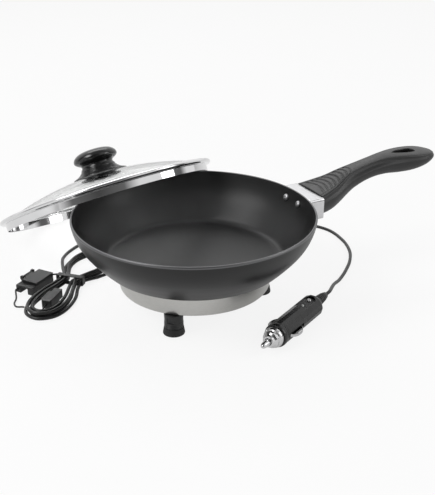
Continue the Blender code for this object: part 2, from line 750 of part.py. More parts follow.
grip_rings = []
for x in stations:
    top, face, body, under = (np.interp(x, fine_table[:, 0], fine_table[:, k]) for k in range(1, 5))
    deep = top - under
    half = [(face * u, top + GRIP_CROWN * v) for u, v in GRIP_TOP_SHARES]
    half = [(y, z - rib_depth(x, y, face)) for y, z in half]
    half.append((face, top - GRIP_CROWN * HALF_SHARE))
    half += [(body * wide, top - deep * down) for wide, down in GRIP_SIDE_SHARES]
    ring = half + [(0.0, under)] + [(-y, z) for y, z in half[:0:-1]]
    grip_rings.append([(x, y, z) for y, z in ring])
grip = loft("handle_grip", grip_rings, GRIP)
socket_start = grip_start - CUT_OVERRUN
socket_end = tang_end + GAP
cut(grip, box("cut_tang_socket",
              (socket_end - socket_start, 2.0 * (TANG_HALF_W + GAP), TANG_T + 2.0 * GAP),
              ((socket_end + socket_start) * HALF_SHARE, 0.0, tang_mid)))
slot_start = grip_start + GRIP_LENGTH - SLOT_INSET - SLOT_LENGTH
slot = [(slot_start + u * SLOT_LENGTH, v * SLOT_HALF_W) for u, v in SLOT_SHARES]
slot += [(x, -y) for x, y in slot[:0:-1]]
grip_low = min(table[:, 4])
cut(grip, prism("cut_hanging_slot", slot, grip_low, max(table[:, 1]) + CUT_OVERRUN))

# Handle screw, from below through the grip into the tang.
seat = tang_low - HANDLE_SCREW_SEAT_T
screw_frame = Matrix.Translation((grip_start + HANDLE_SCREW_IN, 0.0, 0.0))
head_play = HANDLE_SCREW_HEAD_R + SCREW_PLAY
hole_r = HANDLE_SCREW_R + SCREW_PLAY
bore = ((0.0, grip_low - CUT_OVERRUN), (head_play, grip_low - CUT_OVERRUN), (head_play, seat),
        (hole_r, seat), (hole_r, tang_low), (0.0, tang_low))
cut(grip, revolve("cut_screw_grip", bore, SMALL_SEGMENTS, None, screw_frame))
cut(bracket, disc("cut_screw_tang", hole_r, tang_low - CUT_OVERRUN, tang_top + CUT_OVERRUN,
                  SMALL_SEGMENTS, None, screw_frame))


def fixing(name, head_r, head_h, shank_r, seat_z, tip_z, matrix=None):
    """Screw pointing up: head under its seat, shank up to the tip."""
    profile = ((0.0, seat_z - head_h), (head_r, seat_z - head_h), (head_r, seat_z),
               (shank_r, seat_z), (shank_r, tip_z), (0.0, tip_z))
    return revolve(name, profile, SMALL_SEGMENTS, STEEL, matrix)


fixing("handle_screw", HANDLE_SCREW_HEAD_R, HANDLE_SCREW_HEAD_H, HANDLE_SCREW_R, seat - GAP,
       tang_top - GAP, screw_frame)

# Base band with a lip at each edge.
band_top_r = PAN_BASE_R - BAND_INSET
band_low_r = band_top_r - BAND_TAPER
lip_top = band_top - BAND_WALL
lip_low = band_low + BAND_WALL
band = revolve("base_band", (
    (band_top_r, band_top), (band_low_r, band_low), (band_low_r - BAND_LOW_LIP, band_low),
    (band_low_r - BAND_LOW_LIP, lip_low), (band_low_r - BAND_WALL, lip_low),
    (band_top_r - BAND_WALL, lip_top), (band_top_r - BAND_TOP_LIP, lip_top),
    (band_top_r - BAND_TOP_LIP, band_top),
), BAND_SEGMENTS, BRIGHT)

# Stack below the pan: element, clamp plate, insulation board, spacer, cover, centre screw.
clamp_top = boss_low - GAP
clamp_low = clamp_top - CLAMP_T
board_top = clamp_low - GAP
board_low = board_top - BOARD_T
cover_low = lip_low + GAP
cover_top = cover_low + COVER_T
cover_r = band_low_r - BAND_WALL - COVER_PLAY
clamp_r = PAN_BASE_R * CLAMP_SHARE
board_r = PAN_BASE_R * BOARD_SHARE
clamp = washer("clamp_plate", centre_hole_r, clamp_r, clamp_low, clamp_top, PLATE_SEGMENTS, STEEL)
board = washer("insulation_board", centre_hole_r, board_r, board_low, board_top,
               PLATE_SEGMENTS, BOARD)
cover = washer("base_cover", centre_hole_r, cover_r, cover_low, cover_top, PLATE_SEGMENTS, STEEL)
spacer_r = centre_hole_r + SPACER_WALL
washer("centre_spacer", centre_hole_r, spacer_r, cover_top + GAP, board_low - GAP, SMALL_SEGMENTS,
       STEEL)
fixing("centre_screw", CENTRE_HEAD_R, CENTRE_HEAD_H, CENTRE_SCREW_R, cover_low - GAP,
       boss_roof - CENTRE_SCREW_SHY)
element_z = pan_low - GAP - ELEMENT_TUBE_R
turns = np.linspace(GLAND_TURN + ELEMENT_OPEN_TURN, GLAND_TURN + 2.0 * pi - ELEMENT_OPEN_TURN,
                    ELEMENT_POINTS)
element_r = PAN_BASE_R * ELEMENT_SHARE
element = [(element_r * cos(a), element_r * sin(a), element_z) for a in turns]
tube("heating_element", element, ELEMENT_TUBE_R, STEEL, 1)
thermostat_top = pan_low - 2.0 * GAP
thermostat_low = thermostat_top - THERMOSTAT_H
thermostat_frame = Matrix.Translation((-THERMOSTAT_OUT, 0.0, 0.0))
disc("thermostat", THERMOSTAT_R, thermostat_low, thermostat_top, SMALL_SEGMENTS, CERAMIC,
     thermostat_frame)
for piece, name in ((clamp, "clamp"), (board, "board")):
    cut(piece, disc("cut_thermostat_" + name, THERMOSTAT_R + THERMOSTAT_PLAY,
                    board_low - CUT_OVERRUN, clamp_top + CUT_OVERRUN, SMALL_SEGMENTS, None,
                    thermostat_frame))

# Terminal block in a slot of the board, beside the gland.
block_frame = Matrix.Rotation(GLAND_TURN, 4, "Z")
block_out = PAN_BASE_R * BLOCK_SHARE
block_front = block_out - BLOCK_DEPTH * HALF_SHARE
block_back = block_out + BLOCK_DEPTH * HALF_SHARE
board_slot_start = block_front - BLOCK_SLOT_FRONT
board_slot_end = board_r + CUT_OVERRUN
slot_size = (board_slot_end - board_slot_start, BLOCK_WIDTH + 2.0 * BLOCK_SLOT_SIDE,
             clamp_top - board_low + 2.0 * CUT_OVERRUN)
slot_centre = ((board_slot_end + board_slot_start) * HALF_SHARE, 0.0,
               (clamp_top + board_low) * HALF_SHARE)
for piece, name in ((clamp, "clamp"), (board, "board")):
    cut(piece, box("cut_lead_slot_" + name, slot_size, slot_centre, None, block_frame))
block_low = cover_top + GAP
block_top = block_low + BLOCK_H
block_mid = (block_low + block_top) * HALF_SHARE
block = box("terminal_block", (BLOCK_DEPTH, BLOCK_WIDTH, BLOCK_H), (block_out, 0.0, block_mid),
            CERAMIC, block_frame)
hole_low = block_top - BLOCK_HOLE_DEPTH
for name, offset in (("a", BLOCK_SCREW_OFFSET), ("b", -BLOCK_SCREW_OFFSET)):
    at = block_frame @ Matrix.Translation((block_out, offset, 0.0))
    cut(block, disc("cut_block_" + name, BLOCK_SCREW_R + SCREW_PLAY, hole_low,
                    block_top + CUT_OVERRUN, SMALL_SEGMENTS, None, at))
    disc("terminal_screw_" + name, BLOCK_SCREW_R, hole_low + GAP, block_top - BLOCK_SCREW_SUNK,
         SMALL_SEGMENTS, STEEL, at)


def block_point(x, y, z):
    return np.array(block_frame @ Vector((x, y, z)))


def away(end, neighbour):
    step = np.array(end) - np.array(neighbour)
    return step / np.linalg.norm(step)


# Leads inside the base.
side_y = BLOCK_WIDTH * HALF_SHARE + LEAD_STEP
for name, end, neighbour, sign in (("a", element[0], element[1], 1.0),
                                   ("b", element[-1], element[-2], -1.0)):
    out = away(end, neighbour)
    route = [np.array(end) + out * k * LEAD_STEP for k in (1.0, 2.5, 4.0)]
    bend_z = (element_z + block_mid) * HALF_SHARE
    route += [block_point(block_out, sign * y, z)
              for y, z in ((side_y + 5.0 * LEAD_STEP, bend_z), (side_y + 2.0 * LEAD_STEP, block_mid),
                           (side_y, block_mid))]
    tube("element_lead_" + name, smooth_curve(route, LEAD_POINTS), LEAD_R, CORD, 0)
thermo_z = thermostat_low + LEAD_R + GAP
lead_t = [(-THERMOSTAT_OUT + THERMOSTAT_R + GAP, THERMOSTAT_R * 0.2, thermo_z),
          (-THERMOSTAT_OUT + THERMOSTAT_R * 1.8, THERMOSTAT_R, thermo_z),
          (-spacer_r * 0.4, THERMOSTAT_R * 2.6, thermo_z),
          block_point(block_front - BLOCK_DEPTH * HALF_SHARE, 0.0, block_mid),
          block_point(block_front - GAP, 0.0, block_mid)]
tube("thermostat_lead", smooth_curve(lead_t, LEAD_POINTS), LEAD_R, CORD, 0)

# Gland on the sloping side of the band, and the hole it sits in.
gland_r = band_top_r - BAND_TAPER * GLAND_DOWN_SHARE
gland_z = band_top - BAND_H * GLAND_DOWN_SHARE
out = Vector((cos(GLAND_TURN), sin(GLAND_TURN), -BAND_TAPER / BAND_H)).normalized()
gland_at = frame((gland_r * cos(GLAND_TURN), gland_r * sin(GLAND_TURN), gland_z), out, UP)
neck_r = GLAND_HOLE_R - GLAND_NECK_PLAY
cord_bore = CORD_R + CORD_PLAY
flange_z = GLAND_SEAT + GLAND_FLANGE_T
seat_in = -BAND_WALL - GLAND_SEAT_IN
gland_in = seat_in - GLAND_INNER_T
revolve("cord_gland", (
    (neck_r, GLAND_SEAT), (GLAND_FLANGE_R * GLAND_FLANGE_SHARE, GLAND_SEAT),
    (GLAND_FLANGE_R, flange_z), (GLAND_FLANGE_R * GLAND_SHOULDER_SHARE, flange_z + GLAND_SHOULDER_T),
    (cord_bore + SLEEVE_WALL, GLAND_LENGTH), (cord_bore, GLAND_LENGTH), (cord_bore, gland_in),
    (GLAND_INNER_R, gland_in), (GLAND_INNER_R, seat_in), (neck_r, seat_in),
), MEDIUM_SEGMENTS, RUBBER, gland_at)
cut(band, disc("cut_gland_hole", GLAND_HOLE_R, -2.0 * CUT_OVERRUN, 2.0 * CUT_OVERRUN,
               MEDIUM_SEGMENTS, None, gland_at))

# Feet: leg, pad and screw, three times, centred on the band's lower lip.
foot_hole_r = FOOT_SCREW_R + SCREW_PLAY
foot_bore_r = FOOT_SCREW_HEAD_R + FOOT_BORE_PLAY
foot_seat = foot_top - FOOT_SEAT_T
leg_r = [FOOT_R * u for u in FOOT_LEG_SHARES]
pad_r = [FOOT_R * u for u in FOOT_PAD_SHARES]
leg_mid = (foot_top + leg_low) * HALF_SHARE
for index in range(FOOT_COUNT):
    name = "abc"[index]
    at = turned(band_low_r - BAND_LOW_LIP * HALF_SHARE,
                FOOT_FIRST_TURN + index * 2.0 * pi / FOOT_COUNT)
    leg = revolve("foot_leg_" + name, (
        (foot_hole_r, foot_top), (leg_r[0], foot_top), (leg_r[1], leg_mid), (leg_r[2], leg_low),
        (foot_bore_r, leg_low), (foot_bore_r, foot_seat), (foot_hole_r, foot_seat),
    ), FOOT_SEGMENTS, PLUG, at)
    cut(leg, box("cut_foot_window_" + name, (2.0 * FOOT_WINDOW_DEPTH, FOOT_WINDOW_W, FOOT_WINDOW_H),
                 (leg_r[1], 0.0, foot_top - FOOT_WINDOW_DROP), None, at))
    revolve("foot_pad_" + name, (
        (foot_bore_r, pad_top), (pad_r[0], pad_top), (pad_r[1], pad_top - FOOT_PAD_LEDGE),
        (pad_r[2], stand), (foot_bore_r, stand),
    ), FOOT_SEGMENTS, RUBBER, at)
    fixing("foot_screw_" + name, FOOT_SCREW_HEAD_R, FOOT_SCREW_HEAD_H, FOOT_SCREW_R,
           foot_seat - GAP, cover_top + FOOT_SCREW_PROUD, at)
    for piece, part in ((band, "band"), (cover, "cover")):
        cut(piece, disc("cut_foot_" + part + "_" + name, foot_hole_r, band_low - CUT_OVERRUN,
                        cover_top + CUT_OVERRUN, SMALL_SEGMENTS, None, at))

# Lid pieces, about the middle of the rolled rim.
glass_hole_r = KNOB_SCREW_R + GLASS_HOLE_PLAY
glass_flat_r = GLASS_R - GLASS_LAND


def glass_low(r):
    return GLASS_RISE * max(0.0, 1.0 - (r / glass_flat_r) ** 2) - GAP


dome = [(r, glass_low(r)) for r in np.linspace(glass_flat_r, glass_hole_r, GLASS_STEPS + 1)]
under = [(GLASS_R, glass_low(GLASS_R)), *dome]
glass_profile = under + [(r, z + GLASS_T) for r, z in under[::-1]]
groove_r = GLASS_R + GAP
lap_low = GLASS_T
bead_top = lap_low + RIM_SHEET_T
bead_low = bead_top - BEAD_H
skirt_low = bead_low - SKIRT_H
low_lap = -2.0 * GAP
rim_profile = [(GLASS_R - RIM_LAP, lap_low), (GLASS_R - RIM_LAP, bead_top)]
rim_profile += [(groove_r + BEAD_WIDTH * u, bead_low + BEAD_H * v) for u, v in BEAD_SHARES]
rim_profile += [
    (groove_r + SKIRT_WALL + GAP, skirt_low + GAP), (groove_r + GAP, skirt_low),
    (groove_r + GAP, low_lap - RIM_SHEET_T), (GLASS_R - RIM_LOW_LAP, low_lap - RIM_SHEET_T),
    (GLASS_R - RIM_LOW_LAP, low_lap), (groove_r, low_lap), (groove_r, lap_low),
]

# How the lid leans: its skirt on the stand, its edge against the pan at two points.
fall_dir = Vector((cos(LID_TURN), sin(LID_TURN), 0.0))
lid_up = UP * cos(LID_TILT) + fall_dir * sin(LID_TILT)
lid_drop = min(h * cos(LID_TILT) - r * sin(LID_TILT) for r, h in rim_profile)
lid_z = stand + GAP - lid_drop
washer_top = glass_low(KNOB_WASHER_R) - 2.0 * GAP
washer_low = washer_top - KNOB_WASHER_T
knob_screw_low = washer_low - GAP - KNOB_SCREW_HEAD_H
washer_profile = [(0.0, knob_screw_low), (KNOB_SCREW_HEAD_R, knob_screw_low),
                  (KNOB_WASHER_R, washer_low), (KNOB_WASHER_R, washer_top), (0.0, washer_top)]
pan_edge = [(r, z) for r, z in outer] + [(PAN_RIM_R - RIM_BEVEL, PAN_DEPTH)]
around = np.linspace(0.0, pi * HALF_SHARE, 181)
pan_points = np.array([(r * cos(a), r * sin(a), z) for r, z in pan_edge for a in around])


def profile_distance(points, profile):
    """Signed distance in the (radius, height) plane, below zero inside the profile."""
    best = np.full(len(points), np.inf)
    inside = np.zeros(len(points), dtype=bool)
    for a, b in zip(profile, profile[1:] + profile[:1]):
        a = np.array(a)
        edge = np.array(b) - a
        share = np.clip((points - a) @ edge / (edge @ edge), 0.0, 1.0)
        best = np.minimum(best, np.linalg.norm(points - a - share[:, None] * edge, axis=1))
        crosses = (points[:, 1] < a[1]) != (points[:, 1] < a[1] + edge[1])
        if edge[1] != 0.0:
            inside ^= crosses & (points[:, 0] < a[0] + edge[0] * (points[:, 1] - a[1]) / edge[1])
    return np.where(inside, -best, best)


def lid_clearance(out):
    """Least distance from the pan's side to the lid when the lid's centre lies this far out."""
    x = pan_points[:, 0] - out
    z = pan_points[:, 2] - lid_z
    height = z * cos(LID_TILT) + x * sin(LID_TILT)
    along = x * cos(LID_TILT) - z * sin(LID_TILT)
    flat = np.stack([np.hypot(along, pan_points[:, 1]), height], axis=1)
    sides = (rim_profile, glass_profile, washer_profile)
    return min(profile_distance(flat, profile).min() for profile in sides)


far = PAN_RIM_R + groove_r + BEAD_WIDTH
near = far
while near > groove_r * HALF_SHARE and lid_clearance(near) > LID_REST_PLAY:
    far = near
    near -= BEAD_WIDTH * HALF_SHARE
for _ in range(20):
    middle = (near + far) * HALF_SHARE
    if lid_clearance(middle) > LID_REST_PLAY:
        far = middle
    else:
        near = middle
lid_out = far
print("lid centre (m):", round(lid_out, 5), round(lid_z, 5))
lid_at = frame(fall_dir * lid_out + UP * lid_z, lid_up, fall_dir)
revolve("lid_glass", glass_profile, LID_SEGMENTS, GLASS, lid_at)
revolve("lid_rim", rim_profile, LID_SEGMENTS, POLISHED, lid_at)

# Flared skirt and knob above the glass, washer and screw below it.
flare_low = glass_low(FLARE_R) + GLASS_T + FLARE_SEAT
flare_hole_r = KNOB_SCREW_R + FLARE_HOLE_PLAY
flare_top = flare_low + FLARE_H
flare = []
for u in FLARE_UNDER_SHARES:
    r = flare_hole_r + (FLARE_R - flare_hole_r) * u
    flare.append((r, glass_low(r) + GLASS_T + FLARE_SEAT))
flare += [(FLARE_R * u, flare_low + FLARE_H * v) for u, v in FLARE_SHARES]
flare.append((flare_hole_r, flare_top))
revolve("knob_skirt", flare, KNOB_SEGMENTS, GRIP, lid_at)
knob_low = flare_top + GAP
knob_hole_top = knob_low + KNOB_HOLE_DEPTH
knob_hole_r = KNOB_SCREW_R + SCREW_PLAY
knob = [(KNOB_R * u, knob_low + KNOB_H * v) for u, v in KNOB_SHARES]
knob += [(knob_hole_r, knob_low), (knob_hole_r, knob_hole_top), (0.0, knob_hole_top)]
revolve("lid_knob", knob, KNOB_SEGMENTS, KNOB, lid_at)
washer("knob_washer", knob_hole_r, KNOB_WASHER_R, washer_low, washer_top, SMALL_SEGMENTS, STEEL,
       lid_at)
fixing("knob_screw", KNOB_SCREW_HEAD_R, KNOB_SCREW_HEAD_H, KNOB_SCREW_R, washer_low - GAP,
       knob_hole_top - KNOB_SCREW_SHY, lid_at)

# Hank: one unbroken tube; its plan is a closed shape offset outwards as it winds.
quarter = np.array(HANK_QUARTER)
wide = quarter * 1.0
wide[:, 0] += HANK_FAR_WIDEN * np.sin(pi * np.clip(quarter[:, 1] / quarter[-1, 1], 0.0, 1.0)) ** 2
loop = [(-x, y) for x, y in wide[::-1][:-1]] + [(-x, -y) for x, y in quarter[:-1]]
loop += [(x, -y) for x, y in quarter[::-1][:-1]] + [(x, y) for x, y in wide[:-1]]
loop = np.array(loop + [loop[0]])
wrap = np.vstack([loop[-3:-1], loop, loop[1:3]])
fine = smooth_curve(wrap, 1200)
first = int(np.argmin(np.linalg.norm(fine[:300] - loop[0], axis=1)))
last = len(fine) - 300 + int(np.argmin(np.linalg.norm(fine[-300:] - loop[0], axis=1)))
base_loop = fine[first:last + 1]
run = np.concatenate([[0.0], np.cumsum(np.linalg.norm(np.diff(base_loop, axis=0), axis=1))])
run /= run[-1]
forward = np.gradient(base_loop, axis=0)
forward /= np.linalg.norm(forward, axis=1)[:, None]
outward = np.stack([-forward[:, 1], forward[:, 0]], axis=1)
if (outward[len(outward) // 2] @ base_loop[len(outward) // 2]) < 0.0:
    outward = -outward


def hank_point(turn):
    share = (turn - HANK_CROWD_SHARE * sin(4.0 * pi * turn) / (4.0 * pi)) % 1.0
    xy = np.array([np.interp(share, run, base_loop[:, k]) for k in (0, 1)])
    n = np.array([np.interp(share, run, outward[:, k]) for k in (0, 1)])
    wound = turn - HANK_START_SHARE
    climb = np.clip((wound - HANK_LOW_SHARE) / HANK_CLIMB_SHARE, 0.0, 1.0)
    climb = climb * climb * (3.0 - 2.0 * climb)
    if wound < HANK_LOW_SHARE:
        offset = HANK_PITCH * (HANK_LOW_SHARE - wound)
    else:
        offset = HANK_PITCH * max(0.0, wound - HANK_LOW_SHARE - HANK_CLIMB_SHARE)
    xy = xy + n / np.linalg.norm(n) * offset
    lift = HANK_TIE_LIFT * np.exp(-(xy[1] / HANK_TIE_SPREAD) ** 2)
    z = stand + HANK_BASE_Z + HANK_LAYER * climb + lift
    c, s = cos(HANK_TURN), sin(HANK_TURN)
    along, side = xy[1], xy[0]
    return (HANK_CENTRE[0] + along * c - side * s, HANK_CENTRE[1] + along * s + side * c, z)


hank_count = int(round((HANK_END_SHARE - HANK_START_SHARE) * HANK_LOOP_POINTS)) + 1
hank = np.array([hank_point(t)
                 for t in np.linspace(HANK_START_SHARE, HANK_END_SHARE, hank_count)])
tube("cord_hank", hank, CORD_R, CORD, 1)
dense = smooth_curve(hank, 1400)
pace = run_length(dense) / (len(dense) - 1)
skip = int(8.0 * CORD_R / pace)
least = min(float(np.linalg.norm(dense[i + skip:] - dense[i], axis=1).min())
            for i in range(0, len(dense) - skip - 1, 3))
print("hank least gap to itself (m):", round(least - 2.0 * CORD_R, 5))

# Tie round the middle of the hank.
tie_half = HANK_QUARTER[0][0] + HANK_PITCH * HANK_LOW_SHARE + CORD_R + TIE_PLAY
tie_low = TIE_T + GAP
tie_high = HANK_BASE_Z + HANK_TIE_LIFT + HANK_LAYER + CORD_R + TIE_PLAY


def tie_ring(grow, along):
    y0, y1 = -tie_half - grow, tie_half + grow
    z0, z1 = stand + tie_low - grow, stand + tie_high + grow
    bevel = (TIE_T + grow) * 0.6
    corners = ((y0 + bevel, z0), (y1 - bevel, z0), (y1, z0 + bevel), (y1, z1 - bevel),
               (y1 - bevel, z1), (y0 + bevel, z1), (y0, z1 - bevel), (y0, z0 + bevel))
    return [(along, y, z) for y, z in corners]


hank_at = Matrix.Translation((*HANK_CENTRE, 0.0)) @ Matrix.Rotation(HANK_TURN, 4, "Z")
rings = [tie_ring(TIE_T, -TIE_HALF_ALONG), tie_ring(TIE_T, TIE_HALF_ALONG),
         tie_ring(0.0, TIE_HALF_ALONG), tie_ring(0.0, -TIE_HALF_ALONG)]
loft("hank_tie", rings, RUBBER, hank_at, True)

# Free stretches of the cord: base to hank, and hank to plug.
exit_z = block_top - CORD_R - GAP
from_block = [block_point(block_back + step, 0.0, exit_z) for step in (GAP, CORD_R, 2.0 * CORD_R)]
inside = gland_at @ Vector((0.0, 0.0, gland_in - CORD_R))
outside = gland_at @ Vector((0.0, 0.0, GLAND_LENGTH + 2.0 * CORD_R))
straight = list(np.linspace(inside, outside, 4))


def on_stand(route):
    return [np.array((x, y, stand + h)) for x, y, h in route]


def end_step(points, length):
    return points[0] + away(points[0], points[1]) * length


hank_in = end_step(hank, GAP)
hank_in_far = end_step(hank, 3.0 * CORD_R)
base_route = from_block + straight + on_stand(BASE_ROUTE) + [hank_in_far, hank_in]
cord_base = smooth_curve(base_route, BASE_POINTS)
tube("cord_base", cord_base, CORD_R, CORD)
hank_out = end_step(hank[::-1], GAP)
hank_out_far = end_step(hank[::-1], 3.0 * CORD_R)
plug_z = stand + SHELL_R + COLLAR_PROUD + CORD_LIFT
plug_at = frame((*PLUG_REAR, plug_z), (cos(PLUG_TURN), sin(PLUG_TURN), 0.0), UP)
relief_bottom = RELIEF_LENGTH * RELIEF_BORE_SHARE
into = [plug_at @ Vector((0.0, 0.0, s)) for s in (-5.0 * CORD_R, -CORD_R, relief_bottom - GAP)]
plug_route = [hank_out, hank_out_far] + on_stand(PLUG_ROUTE) + [np.array(p) for p in into]
cord_plug = smooth_curve(plug_route, PLUG_ROUTE_POINTS)
tube("cord_plug", cord_plug, CORD_R, CORD)
print("cord lengths (m):", round(run_length(cord_base), 3), round(run_length(hank), 3),
      round(run_length(cord_plug), 3))

# In-line fuse holder: body with channel, pocket and hinge lugs.
holder_at = (Matrix.Translation((*HOLDER_CENTRE, stand + HOLDER_LIFT))
             @ Matrix.Rotation(HOLDER_TURN, 4, "Z"))
half_l = HOLDER_LENGTH * HALF_SHARE
half_w = HOLDER_WIDTH * HALF_SHARE
holder = box("fuse_holder", (HOLDER_LENGTH, HOLDER_WIDTH, HOLDER_H),
             (0.0, 0.0, HOLDER_H * HALF_SHARE), GRIP, holder_at)
hinge_y = half_w + HINGE_OUT
hinge_z = HOLDER_H + HINGE_UP
lug_end = HINGE_BARREL_HALF + GAP
lug_y0 = half_w - HINGE_LUG_R
lug_y1 = hinge_y + HINGE_LUG_R
lug_outline = [(lug_y0, HOLDER_H * 0.4), (half_w + HINGE_LUG_R * 0.4, HOLDER_H * 0.4),
               (lug_y1, hinge_z - HINGE_LUG_R * 0.6), (lug_y1, hinge_z + HINGE_LUG_R * 0.6),
               (hinge_y + HINGE_LUG_R * 0.5, hinge_z + HINGE_LUG_R),
               (hinge_y - HINGE_LUG_R, hinge_z + HINGE_LUG_R),
               (hinge_y - HINGE_LUG_R, HOLDER_H * 0.9), (lug_y0, HOLDER_H * 0.9)]
for name, sign in (("a", 1.0), ("b", -1.0)):
    x0 = HINGE_CENTRE_X + sign * lug_end
    x1 = x0 + sign * HINGE_LUG_T
    rings = [[(x, y, z) for y, z in lug_outline] for x in (min(x0, x1), max(x0, x1))]
    join(holder, loft("join_lug_" + name, rings, None, holder_at))
hinge_at = holder_at @ Matrix.Translation((HINGE_CENTRE_X, hinge_y, hinge_z))
along_x = Matrix.Rotation(pi * HALF_SHARE, 4, "Y")
lug_out = lug_end + HINGE_LUG_T + CUT_OVERRUN
cut(holder, disc("cut_hinge_bore", HINGE_PIN_R + SCREW_PLAY, -lug_out, lug_out, SMALL_SEGMENTS,
                 None, hinge_at @ along_x))
cut(holder, box("cut_holder_channel",
                (CHANNEL_LENGTH + CUT_OVERRUN, CHANNEL_WIDTH, CHANNEL_H + CUT_OVERRUN),
                ((CHANNEL_LENGTH - HOLDER_LENGTH - CUT_OVERRUN) * HALF_SHARE, 0.0,
                 (CHANNEL_H - CUT_OVERRUN) * HALF_SHARE), None, holder_at))
pocket_low = HOLDER_H - POCKET_DEPTH
cut(holder, box("cut_holder_pocket", (POCKET_LENGTH, POCKET_WIDTH, POCKET_DEPTH + CUT_OVERRUN),
                (POCKET_X, 0.0, (HOLDER_H + pocket_low + CUT_OVERRUN) * HALF_SHARE), None,
                holder_at))
blade_h = POCKET_DEPTH - 2.0 * GAP
box("blade_fuse", (POCKET_LENGTH - 2.0 * BLADE_PLAY, POCKET_WIDTH - 2.0 * BLADE_PLAY, blade_h),
    (POCKET_X, 0.0, pocket_low + GAP + blade_h * HALF_SHARE), AMBER, holder_at)

# Fuse holder cap: plate and stepped hinge barrel; its origin lies on the hinge.
cap_x1 = half_l - HINGE_CENTRE_X
cap_y0 = -half_w - hinge_y
cap_y1 = -HINGE_OUT - HINGE_LUG_R
cap_z0 = HOLDER_H + GAP - hinge_z
cap = box("fuse_cap", (CAP_LENGTH, cap_y1 - cap_y0, CAP_T),
          (cap_x1 - CAP_LENGTH * HALF_SHARE, (cap_y0 + cap_y1) * HALF_SHARE,
           cap_z0 + CAP_T * HALF_SHARE), GRIP, hinge_at)
neck = box("join_cap_neck", (2.0 * HINGE_BARREL_HALF * 0.9, -cap_y1 + CUT_OVERRUN,
                             HINGE_BARREL_R * 1.2), (0.0, (cap_y1 - CUT_OVERRUN) * HALF_SHARE, 0.0),
           None, hinge_at)
pin_end = lug_end + HINGE_LUG_T * 0.8
barrel = revolve("join_cap_barrel", (
    (0.0, -pin_end), (HINGE_PIN_R, -pin_end), (HINGE_PIN_R, -HINGE_BARREL_HALF),
    (HINGE_BARREL_R, -HINGE_BARREL_HALF), (HINGE_BARREL_R, HINGE_BARREL_HALF),
    (HINGE_PIN_R, HINGE_BARREL_HALF), (HINGE_PIN_R, pin_end), (0.0, pin_end),
), SMALL_SEGMENTS, None, hinge_at @ along_x)
join(cap, neck)
join(cap, barrel)


def holder_point(x, y, z):
    return np.array(holder_at @ Vector((x, y, z)))


hank_local = np.array([hank_at.inverted() @ Vector(p) for p in dense])
hank_local = hank_local[hank_local[:, 2] < stand + HANK_BASE_Z + HANK_LAYER * HALF_SHARE]


def hank_edge(along_at):
    """Where a side lead may end on the left flank of the hank."""
    close = hank_local[np.abs(hank_local[:, 0] - along_at) < CORD_R]
    return np.array(hank_at @ Vector((along_at, close[:, 1].max(), stand + HANK_BASE_Z)))


hank_out_side = np.array((-sin(HANK_TURN), cos(HANK_TURN), 0.0))


# Holder leads: a short one towards the tie, and a thin single wire to the hank's near end.
lead_end = hank_edge(HOLDER_LEAD_ALONG)
lead_route = [holder_point(half_l + k * HOLDER_LEAD_STEP, 0.0, HOLDER_H * 0.45)
              for k in (0.2, 0.8, 1.6)]
lead_route += [lead_end + hank_out_side * (CORD_R + k * HOLDER_LEAD_STEP) for k in (1.6, 0.8, 0.2)]
tube("holder_lead", smooth_curve(lead_route, LEAD_POINTS), THIN_R, CORD, 1)
wire_end = hank_edge(HOLDER_WIRE_ALONG)
wire_route = [holder_point(-half_l - k * HOLDER_LEAD_STEP, HOLDER_WIDTH * 0.36, HOLDER_H * 0.5)
              for k in (0.2, 0.8, 1.8)]
wire_route += on_stand(HOLDER_WIRE_ROUTE)
wire_route += [wire_end + hank_out_side * (CORD_R + k * HOLDER_LEAD_STEP) for k in (0.8, 0.2)]
tube("holder_wire", smooth_curve(wire_route, LEAD_POINTS + 4), THIN_R, CORD, 1)

# Coupler block inside the near loop, and its short lead to the innermost turn.
coupler_at = (Matrix.Translation((*COUPLER_CENTRE, stand + HOLDER_LIFT))
              @ Matrix.Rotation(HANK_TURN, 4, "Z"))
half_k = COUPLER_LENGTH * HALF_SHARE
step_x = half_k - COUPLER_STEP_LENGTH
coupler_rings = []
for x, inset in ((-half_k, COUPLER_STEP_IN), (-half_k + COUPLER_STEP_IN, 0.0), (step_x, 0.0),
                 (step_x + GAP, COUPLER_STEP_IN), (half_k, COUPLER_STEP_IN)):
    w = COUPLER_WIDTH * HALF_SHARE - inset
    h = COUPLER_H - inset
    coupler_rings.append([(x, -w, 0.0), (x, w, 0.0), (x, w, h), (x, -w, h)])
loft("coupler_block", coupler_rings, GRIP, coupler_at)
middle = hank_local[(np.abs(hank_local[:, 1]) < CORD_R) & (hank_local[:, 0] < 0.0)]
lead_stop = middle[:, 0].max() + CORD_R + 2.0 * SCREW_PLAY
lead_from = hank_at.inverted() @ (coupler_at @ Vector((-half_k - GAP, 0.0, COUPLER_H * 0.4)))
lead_drop = lead_from[2] - stand - HANK_BASE_Z
lead_route = [
    hank_at @ Vector((lead_from[0] + (lead_stop - lead_from[0]) * u, lead_from[1] * (1.0 - u),
                      lead_from[2] - lead_drop * v))
    for u, v in ((0.0, 0.0), (0.2, 0.0), (0.5, 0.5), (0.8, 1.0), (1.0, 1.0))
]
tube("coupler_lead", smooth_curve(lead_route, LEAD_POINTS), THIN_R, CORD, 1)

